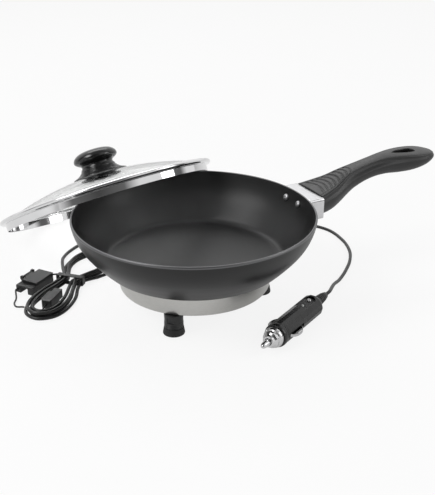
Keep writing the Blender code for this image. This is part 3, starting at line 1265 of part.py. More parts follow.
# Plug shells: two halves about the level plane, with side slots.
shell_start = RELIEF_LENGTH + SCREW_PLAY
shell_end = shell_start + SHELL_LENGTH
shoulder = shell_start + SHELL_SHOULDER
rib_start = shell_start + SHELL_RIB_START
rib_end = rib_start + SHELL_RIB_T
front_wall = shell_end - SHELL_FRONT_WALL
slot_end = shell_end - SHELL_FRONT_WALL * SIDE_SLOT_FRONT_SHARE
slot_from = slot_end - SIDE_SLOT_LENGTH
shell_rings = (
    (shell_start, SHELL_R * SHELL_SHARES[0], SHELL_REAR_HOLE_R, 0),
    (shell_start + SHELL_REAR_WALL, SHELL_R * SHELL_SHARES[1], SHELL_REAR_HOLE_R, 0),
    (shoulder - GAP, SHELL_R * SHELL_SHARES[2], SHELL_BORE_R, 0),
    (shoulder + GAP, SHELL_R, SHELL_BORE_R, 0), (rib_start - GAP, SHELL_R, SHELL_BORE_R, 0),
    (rib_start, SHELL_R, SHELL_RIB_HOLE_R, 0), (rib_end, SHELL_R, SHELL_RIB_HOLE_R, 0),
    (rib_end + GAP, SHELL_R, SHELL_BORE_R, 0), (slot_from - GAP, SHELL_R, SHELL_BORE_R, 0),
    (slot_from, SHELL_R, SHELL_BORE_R, 1), (front_wall - GAP, SHELL_R, SHELL_BORE_R, 1),
    (front_wall, SHELL_R, SHELL_FRONT_HOLE_R, 1), (slot_end, SHELL_R, SHELL_FRONT_HOLE_R, 1),
    (slot_end + GAP, SHELL_R, SHELL_FRONT_HOLE_R, 0), (shell_end, SHELL_R, SHELL_FRONT_HOLE_R, 0),
)
shells = {}
for name, sign in (("plug_shell_top", 1.0), ("plug_shell_base", -1.0)):
    rings = []
    for s, r_out, r_in, slotted in shell_rings:
        edge = SIDE_SLOT_HALF if slotted else GAP * HALF_SHARE
        ring = []
        for r, order in ((r_out, 1.0), (r_in, -1.0)):
            limit = acos(min(1.0, edge / r))
            for a in np.linspace(-limit, limit, SHELL_ARC_STEPS + 1) * order:
                ring.append((sign * r * cos(a), r * sin(a), s))
        rings.append(ring)
    shells[name] = loft(name, rings, PLUG, plug_at)

# Inset panel, screw and lamp on the rear of the plug.
panel_start = shell_start + PANEL_START
panel_end = panel_start + PANEL_LENGTH
panel_x = SHELL_R - PANEL_DEPTH
panel = [(panel_end, PANEL_HALF_W), (panel_end, -PANEL_HALF_W)]
for k in range(PANEL_ROUND_STEPS + 1):
    a = pi * (0.5 + k / PANEL_ROUND_STEPS)
    panel.append((panel_start + PANEL_HALF_W * (1.0 + cos(a)), -PANEL_HALF_W * sin(a)))
panel_rings = [[(x, y, s) for s, y in panel] for x in (panel_x, SHELL_R + CUT_OVERRUN)]
cut(shells["plug_shell_top"], loft("cut_plug_panel", panel_rings, None, plug_at))
up_x = Matrix.Rotation(pi * HALF_SHARE, 4, "Y")
screw_at = plug_at @ Matrix.Translation((0.0, 0.0, panel_start + PLUG_SCREW_IN)) @ up_x
lamp_at = plug_at @ Matrix.Translation((0.0, 0.0, panel_start + LAMP_IN)) @ up_x
screw_hole = PLUG_SCREW_R + SCREW_PLAY
screw_low = PLUG_SCREW_ROOF - SHELL_R
cut(shells["plug_shell_top"], disc("cut_plug_screw", screw_hole, 0.0, SHELL_R, SMALL_SEGMENTS,
                                   None, screw_at))
cut(shells["plug_shell_base"], disc("cut_plug_screw_base", screw_hole, screw_low - GAP, 0.0,
                                    SMALL_SEGMENTS, None, screw_at))
cut(shells["plug_shell_top"], disc("cut_plug_lamp", LAMP_R + SCREW_PLAY, 0.0, SHELL_R,
                                   SMALL_SEGMENTS, None, lamp_at))
head = panel_x + GAP
revolve("plug_screw", (
    (0.0, screw_low), (PLUG_SCREW_R, screw_low), (PLUG_SCREW_R, head), (PLUG_SCREW_HEAD_R, head),
    (PLUG_SCREW_HEAD_R * 0.8, head + PLUG_SCREW_HEAD_H), (0.0, head + PLUG_SCREW_HEAD_H),
), SMALL_SEGMENTS, STEEL, screw_at)
lens_low = panel_x - LAMP_SEAT
lens_top = panel_x + LAMP_PROUD
revolve("plug_lamp", ((0.0, lens_low), (LAMP_R, lens_low), (LAMP_R, panel_x),
                      (LAMP_R * 0.7, lens_top - GAP), (0.0, lens_top)),
        SMALL_SEGMENTS, LAMP, lamp_at)

# Strain relief, collar and nose ring, turned about the plug's axis.
relief_neck = SHELL_REAR_HOLE_R - SCREW_PLAY
relief_flange = SHELL_REAR_HOLE_R + RELIEF_INNER_PROUD
relief_seat = shell_start + SHELL_REAR_WALL + RELIEF_SEAT_IN
relief_end = relief_seat + RELIEF_INNER_T
relief = [(cord_bore + SLEEVE_WALL, 0.0)]
relief += [(RELIEF_R * u, RELIEF_LENGTH * v) for u, v in RELIEF_SHARES]
relief += [(relief_neck, RELIEF_LENGTH), (relief_neck, relief_seat), (relief_flange, relief_seat),
           (relief_flange, relief_end), (0.0, relief_end), (0.0, relief_bottom),
           (cord_bore, relief_bottom), (cord_bore, 0.0)]
revolve("plug_relief", relief, MEDIUM_SEGMENTS, RUBBER, plug_at)
collar_start = shell_end + GAP
collar_end = collar_start + COLLAR_LENGTH
collar_bore = TIP_FLANGE_R + GAP
collar = [(collar_bore, collar_start)]
collar += [((SHELL_R + COLLAR_PROUD) * u, collar_start + COLLAR_LENGTH * v)
           for u, v in COLLAR_SHARES]
revolve("plug_collar", collar + [(collar_bore, collar_end)], FOOT_SEGMENTS, PLUG, plug_at)
ring_start = collar_end + GAP
ring_end = ring_start + RING_LENGTH
tip_start = ring_start + TIP_BACK
flange_end = tip_start + TIP_FLANGE_T
ring_bore = TIP_FLANGE_R + RING_BORE_PLAY
lip_r = TIP_R + RING_LIP_PLAY
nose = [(ring_bore, ring_start)]
nose += [(RING_R * u, ring_start + RING_LENGTH * v) for u, v in RING_SHARES]
nose += [(lip_r, ring_end), (lip_r, flange_end + GAP), (ring_bore, flange_end + GAP)]
revolve("plug_nose_ring", nose, MEDIUM_SEGMENTS, POLISHED, plug_at)

# Sprung tip, the fuse behind it and the spring behind the fuse.
tip_end = ring_end + TIP_PROUD
tip = [(0.0, tip_start), (TIP_FLANGE_R, tip_start), (TIP_FLANGE_R, flange_end), (TIP_R, flange_end)]
tip += [(TIP_R * u, tip_end - TIP_NOSE * v) for u, v in TIP_NOSE_SHARES] + [(0.0, tip_end)]
revolve("plug_tip", tip, SMALL_SEGMENTS, POLISHED, plug_at)
fuse_front = tip_start - GAP
fuse_rear = fuse_front - FUSE_LENGTH
glass_r = FUSE_R * FUSE_GLASS_SHARE
revolve("plug_fuse", (
    (0.0, fuse_rear), (FUSE_R, fuse_rear), (FUSE_R, fuse_rear + FUSE_CAP_LENGTH),
    (glass_r, fuse_rear + FUSE_CAP_LENGTH + GAP), (glass_r, fuse_front - FUSE_CAP_LENGTH - GAP),
    (FUSE_R, fuse_front - FUSE_CAP_LENGTH), (FUSE_R, fuse_front), (0.0, fuse_front),
), SMALL_SEGMENTS, POLISHED, plug_at)
coil_count = SPRING_TURNS * SPRING_TURN_POINTS + 1
coil_start = rib_end + SPRING_WIRE_R + SPRING_PLAY
coil_end = fuse_rear - SPRING_WIRE_R - SPRING_PLAY
coil = []
for k, s in enumerate(np.linspace(coil_start, coil_end, coil_count)):
    a = 2.0 * pi * k / SPRING_TURN_POINTS
    coil.append(plug_at @ Vector((SPRING_R * cos(a), SPRING_R * sin(a), s)))
tube("tip_spring", coil, SPRING_WIRE_R, POLISHED, 0)

# Side contacts: bowed strips, each with its origin on its own hinge.
contact = [(slot_from + SIDE_SLOT_LENGTH * u, CONTACT_REACH * v) for u, v in CONTACT_SHARES]
route = smooth_curve(contact, CONTACT_STEPS + 1)
along = np.gradient(route, axis=0)
along /= np.linalg.norm(along, axis=1)[:, None]
normal = np.stack([-along[:, 1], along[:, 0]], axis=1)
contact_half = SIDE_SLOT_HALF - CONTACT_PLAY
pivot_s, pivot_y = route[0]
for name, sign in (("contact_left", 1.0), ("contact_right", -1.0)):
    at = plug_at @ Matrix.Translation((0.0, sign * pivot_y, pivot_s))
    rings = []
    for (s, y), (ns, ny) in zip(route, normal):
        ring = []
        for h, t in ((-1.0, -0.5), (1.0, -0.5), (1.0, 0.5), (-1.0, 0.5)):
            ring.append((h * contact_half, sign * (y + ny * t * CONTACT_T - pivot_y),
                         s + ns * t * CONTACT_T - pivot_s))
        rings.append(ring)
    loft(name, rings, POLISHED, at)
    print(name, "hinge (m):", [round(c, 5) for c in at.translation])
print("stand (m):", round(stand, 5))
print("cap hinge (m):", [round(c, 5) for c in hinge_at.translation])
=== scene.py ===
from math import cos, pi, radians, sin

import bpy
import numpy as np
from mathutils import Matrix, Vector


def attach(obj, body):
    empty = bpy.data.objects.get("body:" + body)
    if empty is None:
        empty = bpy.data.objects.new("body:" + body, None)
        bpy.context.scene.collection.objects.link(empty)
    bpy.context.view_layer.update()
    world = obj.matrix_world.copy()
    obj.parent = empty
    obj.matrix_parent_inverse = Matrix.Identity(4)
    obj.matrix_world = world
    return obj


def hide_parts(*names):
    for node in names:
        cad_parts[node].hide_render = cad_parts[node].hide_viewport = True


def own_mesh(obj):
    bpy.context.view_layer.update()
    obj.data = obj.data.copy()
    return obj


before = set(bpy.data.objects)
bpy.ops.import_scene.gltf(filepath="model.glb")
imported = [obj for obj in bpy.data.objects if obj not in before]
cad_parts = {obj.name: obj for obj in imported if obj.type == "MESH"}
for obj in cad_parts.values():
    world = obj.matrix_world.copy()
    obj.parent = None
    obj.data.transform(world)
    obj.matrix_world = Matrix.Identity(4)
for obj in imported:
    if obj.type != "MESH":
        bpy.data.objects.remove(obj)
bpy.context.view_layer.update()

# Camera: stands low and to the left of the pan, as the picture was taken.
# Long lens, held level, looking a quarter down at the pan.
IMAGE_W = 435.0
IMAGE_H = 495.0
FOCAL_PIXELS = 924.08
eye = Vector((-0.3882, -0.7325, 0.3980))
sight = Vector((0.4461, 0.7885, -0.4236))
lens = bpy.data.cameras.new("camera")
lens.sensor_width = 36.0
lens.sensor_fit = "AUTO"
lens.lens = lens.sensor_width * FOCAL_PIXELS / max(IMAGE_W, IMAGE_H)
lens.clip_start = 0.02
lens.clip_end = 60.0
camera = bpy.data.objects.new("camera", lens)
bpy.context.scene.collection.objects.link(camera)
camera.location = eye
camera.rotation_mode = "QUATERNION"
camera.rotation_quaternion = sight.to_track_quat("-Z", "Y")
bpy.context.scene.camera = camera


# Cord jacket: soft black PVC with a faint sheen, drawn over the strands.
# The shader classes that all later finishes use are set up here.
class Socket:
    """An output of a node; arithmetic on it adds Math nodes to the same finish."""

    def __init__(self, finish, link):
        self.finish = finish
        self.link = link

    def math(self, operation, *values):
        """A Math node of that operation on these values."""
        return self.finish.node("Math", {"operation": operation}, *values)

    def __add__(self, other):
        return self.math("ADD", self, other)

    def __sub__(self, other):
        return self.math("SUBTRACT", self, other)

    def __rsub__(self, other):
        return self.math("SUBTRACT", other, self)

    def __mul__(self, other):
        return self.math("MULTIPLY", self, other)

    def __truediv__(self, other):
        return self.math("DIVIDE", self, other)

    def __pow__(self, other):
        return self.math("POWER", self, other)

    __radd__ = __add__
    __rmul__ = __mul__

    def between(self, low, high):
        """A soft step from 0 at low to 1 at high."""
        settings = {"interpolation_type": "SMOOTHSTEP"}
        return self.finish.node("MapRange", settings, Value=self, From_Min=low, From_Max=high)


class Finish:
    """One node material on a Principled shader."""

    def __init__(self, name):
        self.material = bpy.data.materials.new(name)
        self.material.use_nodes = True
        self.tree = self.material.node_tree
        self.tree.nodes.clear()
        self.output = self.tree.nodes.new("ShaderNodeOutputMaterial")

    def plug(self, socket, value):
        if isinstance(value, Socket):
            self.tree.links.new(value.link, socket)
        elif isinstance(value, tuple) and socket.type == "RGBA":
            socket.default_value = (*value[:3], 1.0)
        else:
            socket.default_value = value

    def node(self, kind, settings=None, *values, out=0, **named):
        """Adds a node; settings come first, stops are a ramp's, then its sockets are filled."""
        made = self.tree.nodes.new("ShaderNode" + kind)
        for key, value in (settings or {}).items():
            if key == "stops":
                ramp = made.color_ramp.elements
                while len(ramp) < len(value):
                    ramp.new(0.5)
                for stop, (place, shade) in zip(ramp, value):
                    stop.position = place
                    shade = shade if isinstance(shade, tuple) else (shade,) * 3
                    stop.color = (*shade, 1.0)
            else:
                setattr(made, key, value)
        for socket, value in zip(made.inputs, values):
            self.plug(socket, value)
        for key, value in named.items():
            self.plug(made.inputs[key.replace("_", " ")], value)
        return Socket(self, made.outputs[out])

    def place(self):
        return self.node("TexCoord", out="Object")

    def axes(self, vector=None):
        """The three coordinates of a point, in metres."""
        split = self.tree.nodes.new("ShaderNodeSeparateXYZ")
        self.plug(split.inputs[0], self.place() if vector is None else vector)
        return [Socket(self, socket) for socket in split.outputs]

    def noise(self, scale, detail=2.0, vector=None, rough=0.5):
        return self.node("TexNoise", None, Vector=vector or self.place(), Scale=scale,
                         Detail=detail, Roughness=rough)

    def mix(self, share, a, b):
        """Colour a where share is 0, colour b where it is 1."""
        made = self.tree.nodes.new("ShaderNodeMix")
        made.data_type = "RGBA"
        for socket, value in zip((made.inputs[0], made.inputs[6], made.inputs[7]), (share, a, b)):
            self.plug(socket, value)
        return Socket(self, made.outputs[2])

    def bump(self, height, distance, strength=1.0, normal=None):
        made = {"Height": height, "Distance": distance, "Strength": strength}
        if normal is not None:
            made["Normal"] = normal
        return self.node("Bump", None, **made)

    def surface(self, **sockets):
        """The Principled shader; each named socket gets a constant or a link."""
        self.plug(self.output.inputs[0], self.node("BsdfPrincipled", None, **sockets))
        return self.material


def jacket(name, colour, rough):
    """Smooth extruded plastic: a little uneven in gloss, with faint drawing marks."""
    f = Finish(name)
    cloud = f.noise(120.0, 3.0)
    skin = f.noise(1500.0, 2.0)
    f.surface(Base_Color=f.mix(cloud.between(0.3, 0.8), colour, tuple(1.7 * c for c in colour)),
              Roughness=cloud * 0.16 + rough, Normal=f.bump(skin, 0.00004, 0.5),
              Specular_IOR_Level=0.5)
    return f.material


def spline_weights(knots, each):
    """Weights of a cubic through the knots, as a matrix from knots to fine points.

    Each stretch is a cubic in its share t, and the ends run on straight.
    """
    rows = np.eye(knots)
    pads = np.vstack([2 * rows[0] - rows[1], rows, 2 * rows[-1] - rows[-2]])
    t = np.linspace(0.0, 1.0, each, endpoint=False)[None, :, None]
    a, b, c, d = (pads[k:k + knots - 1][:, None, :] for k in range(4))
    fine = 0.5 * (2 * b + (c - a) * t + (2 * a - 5 * b + 4 * c - d) * t ** 2
                  + (3 * b - a - 3 * c + d) * t ** 3)
    return np.vstack([fine.reshape(-1, knots), rows[-1:]])


def smooth_curve(points, samples):
    """Even samples, by length, along a cubic curve through all the points."""
    p = np.asarray(points, dtype=float)
    fine = spline_weights(len(p), 24) @ p
    run = np.concatenate([[0.0], np.cumsum(np.linalg.norm(np.diff(fine, axis=0), axis=1))])
    at = np.linspace(0.0, run[-1], samples)
    return np.stack([np.interp(at, run, fine[:, k]) for k in range(fine.shape[1])], axis=1)


def cord_line(name, points, radius, finish, around=3):
    """A round lead along the points, as one open curve with closed ends."""
    curve = bpy.data.curves.new(name, "CURVE")
    curve.dimensions = "3D"
    curve.bevel_depth = radius
    curve.bevel_resolution = around
    curve.use_fill_caps = True
    spline = curve.splines.new("POLY")
    spline.points.add(len(points) - 1)
    spline.points.foreach_set("co", np.c_[points, np.ones(len(points))].ravel())
    spline.use_smooth = True
    ob = bpy.data.objects.new(name, curve)
    bpy.context.scene.collection.objects.link(ob)
    curve.materials.append(finish)
    return ob


STAND = -0.0472
CORD_R = 0.0018
THIN_R = 0.0009
CORD_JACKET = jacket("cord_jacket", (0.0050, 0.0050, 0.0052), 0.28)


def on_stand(route):
    """A route given above the table, lifted to where the table is."""
    table = np.array(route)
    table[:, 2] += STAND
    return table


# The first stretch runs from the terminal block inside the base, out of its gland and down.
inside_base = np.array((
    (0.00999, 0.05668, -0.0151), (0.01025, 0.05815, -0.0151), (0.01057, 0.05993, -0.0151),
    (0.01242, 0.07044, -0.01616), (0.01419, 0.08048, -0.01836), (0.01596, 0.09053, -0.02056),
    (0.01773, 0.10057, -0.02275),
))
base_route = on_stand((
    (0.0184, 0.1090, 0.0205), (0.0168, 0.1160, 0.0126), (0.0120, 0.1215, 0.0058),
    (0.0030, 0.1235, 0.0024), (-0.0110, 0.1185, 0.0020), (-0.0280, 0.1070, 0.0020),
    (-0.0460, 0.0965, 0.0020),
))
plug_route = on_stand((
    (-0.0900, 0.1370, 0.0056), (-0.0835, 0.1510, 0.0032), (-0.0700, 0.1660, 0.0020),
    (-0.0480, 0.1790, 0.0020), (-0.0200, 0.1860, 0.0020), (0.0150, 0.1850, 0.0020),
    (0.0520, 0.1730, 0.0020), (0.0900, 0.1520, 0.0020),
    (0.1300, 0.1340, 0.0020), (0.1700, 0.1200, 0.0020), (0.2000, 0.1000, 0.0020),
    (0.2160, 0.0720, 0.0020), (0.2140, 0.0400, 0.0020), (0.2040, 0.0130, 0.0020),
    (0.1890, -0.0080, 0.0020), (0.1700, -0.0260, 0.0020), (0.1500, -0.0420, 0.0032),
    (0.1330, -0.0548, 0.0075),
))

# The hank: each loop is drawn in at the tie; two turns below wind in, two above wind out.
HANK_CENTRE = (-0.0980, 0.0920)
HANK_TURN = radians(43.0)
HANK_QUARTER = (
    (0.0026, 0.0000), (0.0034, 0.0100), (0.0086, 0.0230), (0.0118, 0.0400), (0.0124, 0.0530),
    (0.0096, 0.0640), (0.0046, 0.0697), (0.0000, 0.0710),
)
HANK_FAR_WIDEN = 0.0045
HANK_PITCH = 0.0048
HANK_LAYER = 0.0043
HANK_BASE_Z = 0.0021
HANK_TIE_LIFT = 0.0018
HANK_TIE_SPREAD = 0.0160
HANK_START_SHARE = 0.20
HANK_LOW_SHARE = 2.0
HANK_CLIMB_SHARE = 0.14
HANK_END_SHARE = 3.80
HANK_CROWD_SHARE = 0.4
quarter = np.array(HANK_QUARTER)
wide = quarter.copy()
wide[:, 0] += HANK_FAR_WIDEN * np.sin(pi * np.clip(quarter[:, 1] / quarter[-1, 1], 0.0, 1.0)) ** 2
loop = np.vstack([wide[::-1][:-1] * (-1, 1), quarter[:-1] * (-1, -1),
                  quarter[::-1][:-1] * (1, -1), wide[:-1]])
loop = np.vstack([loop, loop[:1]])
fine = smooth_curve(np.vstack([loop[-3:-1], loop, loop[1:3]]), 1200)
first = int(np.argmin(np.linalg.norm(fine[:300] - loop[0], axis=1)))
last = 900 + int(np.argmin(np.linalg.norm(fine[-300:] - loop[0], axis=1)))
base_loop = fine[first:last + 1]
run = np.concatenate([[0.0], np.cumsum(np.linalg.norm(np.diff(base_loop, axis=0), axis=1))])
run /= run[-1]
forward = np.gradient(base_loop, axis=0)
outward = np.stack([-forward[:, 1], forward[:, 0]], axis=1)
outward /= np.linalg.norm(outward, axis=1)[:, None]
outward *= np.sign(outward[len(outward) // 2] @ base_loop[len(outward) // 2])


def hank_points(turn):
    """Points of the hank after so many turns: the loop's outline, pushed out by the winding."""
    share = (turn - HANK_CROWD_SHARE * np.sin(4.0 * pi * turn) / (4.0 * pi)) % 1.0
    plan = np.stack([np.interp(share, run, base_loop[:, k]) for k in (0, 1)], axis=1)
    side = np.stack([np.interp(share, run, outward[:, k]) for k in (0, 1)], axis=1)
    wound = turn - HANK_START_SHARE
    climb = np.clip((wound - HANK_LOW_SHARE) / HANK_CLIMB_SHARE, 0.0, 1.0)
    climb = climb * climb * (3.0 - 2.0 * climb)
    above = np.maximum(0.0, wound - HANK_LOW_SHARE - HANK_CLIMB_SHARE)
    offset = HANK_PITCH * np.where(wound < HANK_LOW_SHARE, HANK_LOW_SHARE - wound, above)
    plan = plan + side / np.linalg.norm(side, axis=1)[:, None] * offset[:, None]
    lift = HANK_TIE_LIFT * np.exp(-(plan[:, 1] / HANK_TIE_SPREAD) ** 2)
    height = STAND + HANK_BASE_Z + HANK_LAYER * climb + lift
    c, s = cos(HANK_TURN), sin(HANK_TURN)
    return np.stack([HANK_CENTRE[0] + plan[:, 1] * c - plan[:, 0] * s,
                     HANK_CENTRE[1] + plan[:, 1] * s + plan[:, 0] * c, height], axis=1)


hank = smooth_curve(hank_points(np.linspace(HANK_START_SHARE, HANK_END_SHARE, 87)), 420)


def away(end, neighbour):
    """The unit direction in which a line runs on past its end."""
    step = end - neighbour
    return step / np.linalg.norm(step)


hank_near = hank[0] + away(hank[0], hank[1]) * 3.0 * CORD_R
hank_far = hank[-1] + away(hank[-1], hank[-2]) * 3.0 * CORD_R
base_run = smooth_curve(np.vstack([inside_base, base_route, hank_near, hank[0]]), 110)

# Vehicle plug's own frame: its third axis runs from the cord end to the tip.
PLUG_TURN = radians(-153.506)
plug_at = Matrix((
    (0.0, sin(PLUG_TURN), cos(PLUG_TURN), 0.1071),
    (0.0, -cos(PLUG_TURN), sin(PLUG_TURN), -0.0757),
    (1.0, 0.0, 0.0, -0.0354),
    (0.0, 0.0, 0.0, 1.0),
))
# Inside the plug the cord runs past the body's screw, (sideways, along) in the plug's frame.
INTO_PLUG = (
    (0.0, -0.0090), (0.0, -0.0018), (0.0, 0.0080), (0.0, 0.0190), (0.0004, 0.0240),
    (0.0011, 0.0284), (0.0024, 0.0320), (0.0034, 0.0347), (0.0037, 0.0375), (0.0033, 0.0420),
    (0.0026, 0.0500),
)
into_plug = np.array([plug_at @ Vector((0.0, aside, s)) for aside, s in INTO_PLUG])
plug_run = smooth_curve(np.vstack([hank[-1], hank_far, plug_route, into_plug]), 230)
whole = np.vstack([base_run[:-1], hank, plug_run[1:]])
supply_cord = cord_line("supply_cord", whole, CORD_R, CORD_JACKET)
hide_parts("cord_base", "cord_hank", "cord_plug")
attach(supply_cord, "skillet")


# Pan: one pressed aluminium bowl, coated inside with dark grey non-stick and outside with satin
# black enamel; the trimmed rim is left nearly bare. Profile runs from the middle of the floor
# out, up the inner wall, over the rim and down the outside.
def tidy(ob, finishes, sharp=38.0):
    """Gives a new mesh its finishes and smooth shading up to a crease angle."""
    for finish in finishes:
        ob.data.materials.append(finish)
    bpy.context.scene.collection.objects.link(ob)
    ob.data.shade_smooth()
    ob.data.set_sharp_from_angle(angle=radians(sharp))
    return ob


def skin_of(name, rings, finishes, matrix=None, hoop=False, sharp=38.0, bands=None):
    """A closed surface over rings of points, one ring after another.

    rings is an array (rings, points, 3); neighbours in both ways share a face. The two end rings
    are capped, or joined to each other when hoop is set. bands gives each strip's finish.
    """
    count, around = rings.shape[:2]
    points = rings.reshape(-1, 3)
    if matrix is not None:
        m = np.array(matrix)
        points = points @ m[:3, :3].T + m[:3, 3]
    i = np.arange(count if hoop else count - 1)[:, None]
    j = np.arange(around)[None, :]
    a, b = i * around + j, i * around + (j + 1) % around
    c, d = (i + 1) % count * around + (j + 1) % around, (i + 1) % count * around + j
    faces = np.stack([a, b, c, d], axis=2).reshape(-1, 4).tolist()
    strips = len(faces)
    if not hoop:
        faces += [list(range(around))[::-1], list(range((count - 1) * around, count * around))]
    mesh = bpy.data.meshes.new(name)
    mesh.from_pydata(points.tolist(), [], faces)
    p, q, r = points[a], points[b], points[d]
    flux = np.einsum("ijk,ijk->", np.cross(q - p, r - p), p - points.mean(axis=0))
    if flux < 0.0:
        mesh.flip_normals()
    mesh.update()
    ob = bpy.data.objects.new(name, mesh)
    tidy(ob, finishes, sharp)
    if bands is not None:
        slots = np.zeros(len(faces), dtype=np.int32)
        slots[:strips] = np.repeat(np.asarray(bands), around)
        mesh.polygons.foreach_set("material_index", slots)
    return ob


def spun(name, profile, segments, finishes, matrix=None, bands=None, sharp=38.0, hoop=None):
    """The profile (radius, height) turned about the third axis; on the axis it closes to a point.

    A profile that never meets the axis is closed on itself, as a ring.
    """
    profile = np.asarray(profile, dtype=float)
    if hoop is None:
        hoop = bool(profile[:, 0].min() > 1e-6)
    turn = np.linspace(0.0, 2.0 * pi, segments, endpoint=False)
    r = np.maximum(profile[:, 0], 2e-6)[:, None]
    rings = np.stack([r * np.cos(turn), r * np.sin(turn),
                      np.broadcast_to(profile[:, 1:2], (len(profile), segments))], axis=2)
    return skin_of(name, rings, finishes, matrix, hoop, sharp, bands)


def filleted(corners, radius, steps=3, closed=True):
    """Each corner of an outline replaced by a short arc: a quadratic between its two edges."""
    p = np.asarray(corners, dtype=float)
    before, after = np.roll(p, 1, axis=0), np.roll(p, -1, axis=0)
    to_before, to_after = before - p, after - p
    len_b = np.linalg.norm(to_before, axis=1)[:, None]
    len_a = np.linalg.norm(to_after, axis=1)[:, None]
    cut = np.minimum(radius, 0.45 * np.minimum(len_a, len_b))
    a = p + to_before / np.maximum(len_b, 1e-12) * cut
    b = p + to_after / np.maximum(len_a, 1e-12) * cut
    t = np.linspace(0.0, 1.0, steps + 1)[None, :, None]
    arc = a[:, None] * (1 - t) ** 2 + 2 * p[:, None] * t * (1 - t) + b[:, None] * t ** 2
    if not closed:
        arc[0], arc[-1] = p[0], p[-1]
    return arc.reshape(-1, p.shape[1])


PAN_RIM_R = 0.1200
PAN_DEPTH = 0.0475
inner_table = np.array((
    (0.0850, 0.0), (0.0880, 0.0008), (0.0906, 0.0028), (0.0930, 0.00545), (0.09855, 0.01161),
    (0.10401, 0.01784), (0.10899, 0.02435), (0.11294, 0.03143), (0.11576, 0.03903),
    (0.1180, 0.0470),
))
outer_table = np.array((
    (0.11982, 0.0452), (0.11826, 0.0383), (0.1153, 0.03035), (0.11117, 0.02293),
    (0.10602, 0.01618), (0.10036, 0.00984), (0.0945, 0.00369), (0.08812, -0.00184),
    (0.08, -0.004),
))
floor_r = np.linspace(0.0, 0.080, 9)
pan_floor = np.stack([floor_r, floor_r * 0.0], axis=1)
pan_in = smooth_curve(inner_table, 64)
pan_rim = filleted(((0.1180, 0.0470), (0.1182, 0.0475), (0.1194, 0.0475), (0.1200, 0.0466),
                    (0.11982, 0.0452)), 0.0004, 3, False)[1:-1]
pan_out = smooth_curve(outer_table, 64)
pan_low = np.array(((0.0062, -0.004), (0.0062, -0.0111), (0.0023, -0.0111), (0.0023, -0.003),
                    (0.0, -0.003)))
pan_profile = np.vstack([pan_floor, pan_in, pan_rim, pan_out, pan_low])
pan_bands = np.full(len(pan_profile) - 1, 1)
pan_bands[:len(pan_floor) + len(pan_in) - 1] = 0
pan_bands[len(pan_floor) + len(pan_in) - 1:len(pan_floor) + len(pan_in) + len(pan_rim) - 2] = 2

# Inside coat: sprayed, so finely pebbled, with a broad faint mottle and rubbed rings on the floor.
f = Finish("nonstick_coat")
x, y, z = f.axes()
radius = (x * x + y * y) ** 0.5
rings = f.node("TexNoise", {"noise_dimensions": "1D"}, W=radius * 900.0, Scale=1.0, Detail=3.0)
mottle = f.noise(38.0, 4.0)
fleck = f.noise(2600.0, 2.0)
worn = mottle.between(0.35, 0.75) * 0.35 + rings.between(0.3, 0.8) * 0.20
# Painted shade: from 4 mm up, the coat's colour darkens to near black, so the wall is painted
# darker than the floor.
painted_wall_shade = z.between(0.004, 0.030)
coat_colour = f.mix(worn, (0.014, 0.014, 0.0145), (0.026, 0.026, 0.0265))
coat_colour = f.mix(painted_wall_shade, coat_colour, (0.0065, 0.0065, 0.0068))
f.surface(Base_Color=coat_colour, Roughness=mottle * 0.10 + 0.36, Specular_IOR_Level=0.40,
          Normal=f.bump(fleck + rings * 0.25, 0.00005, 0.55))
COAT = f.material

# Outside enamel: smoother, a little orange peel.
f = Finish("satin_enamel")
peel = f.noise(420.0, 3.0)
cloud = f.noise(26.0, 3.0)
f.surface(Base_Color=f.mix(cloud, (0.0045, 0.0045, 0.0047), (0.0085, 0.0085, 0.0088)),
          Roughness=cloud * 0.10 + 0.31, Specular_IOR_Level=0.40, Coat_Weight=0.08,
          Coat_Roughness=0.25, Normal=f.bump(peel, 0.00005, 0.35))
ENAMEL = f.material

# Rim: the trimmed edge, turned and thinly lacquered.
f = Finish("turned_rim")
x, y, z = f.axes()
lathe = f.node("TexNoise", {"noise_dimensions": "1D"}, W=z * 9000.0, Scale=1.0)
f.surface(Base_Color=f.mix(lathe, (0.09, 0.09, 0.093), (0.18, 0.18, 0.184)), Metallic=0.85,
          Roughness=lathe * 0.15 + 0.28, Normal=f.bump(lathe, 0.00002, 0.4))
RIM = f.material
pan = spun("pan_bowl", pan_profile, 192, [COAT, ENAMEL, RIM], None, pan_bands)
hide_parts("pan_shell")
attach(pan, "skillet")


# Rivets: two solid aluminium rivets hold the handle's plate; their flat domes show inside.
# Each has the faint ring that the snap tool leaves.
def wiped_metal(name, dark, light, rough, stretch=(1.0, 1.0, 1.0), grain=900.0, depth=0.00002,
                metallic=1.0):
    """Metal brushed along one axis: noise drawn out by stretch, in colour, gloss and relief."""
    f = Finish(name)
    x, y, z = f.axes()
    drawn = f.node("CombineXYZ", None, x * stretch[0], y * stretch[1], z * stretch[2])
    lines = f.noise(grain, 4.0, drawn, 0.65)
    cloud = f.noise(45.0, 3.0)
    f.surface(Base_Color=f.mix(lines * 0.7 + cloud * 0.3, dark, light), Metallic=metallic,
              Roughness=lines * 0.14 + cloud * 0.08 + rough, Normal=f.bump(lines, depth, 0.7))
    return f.material


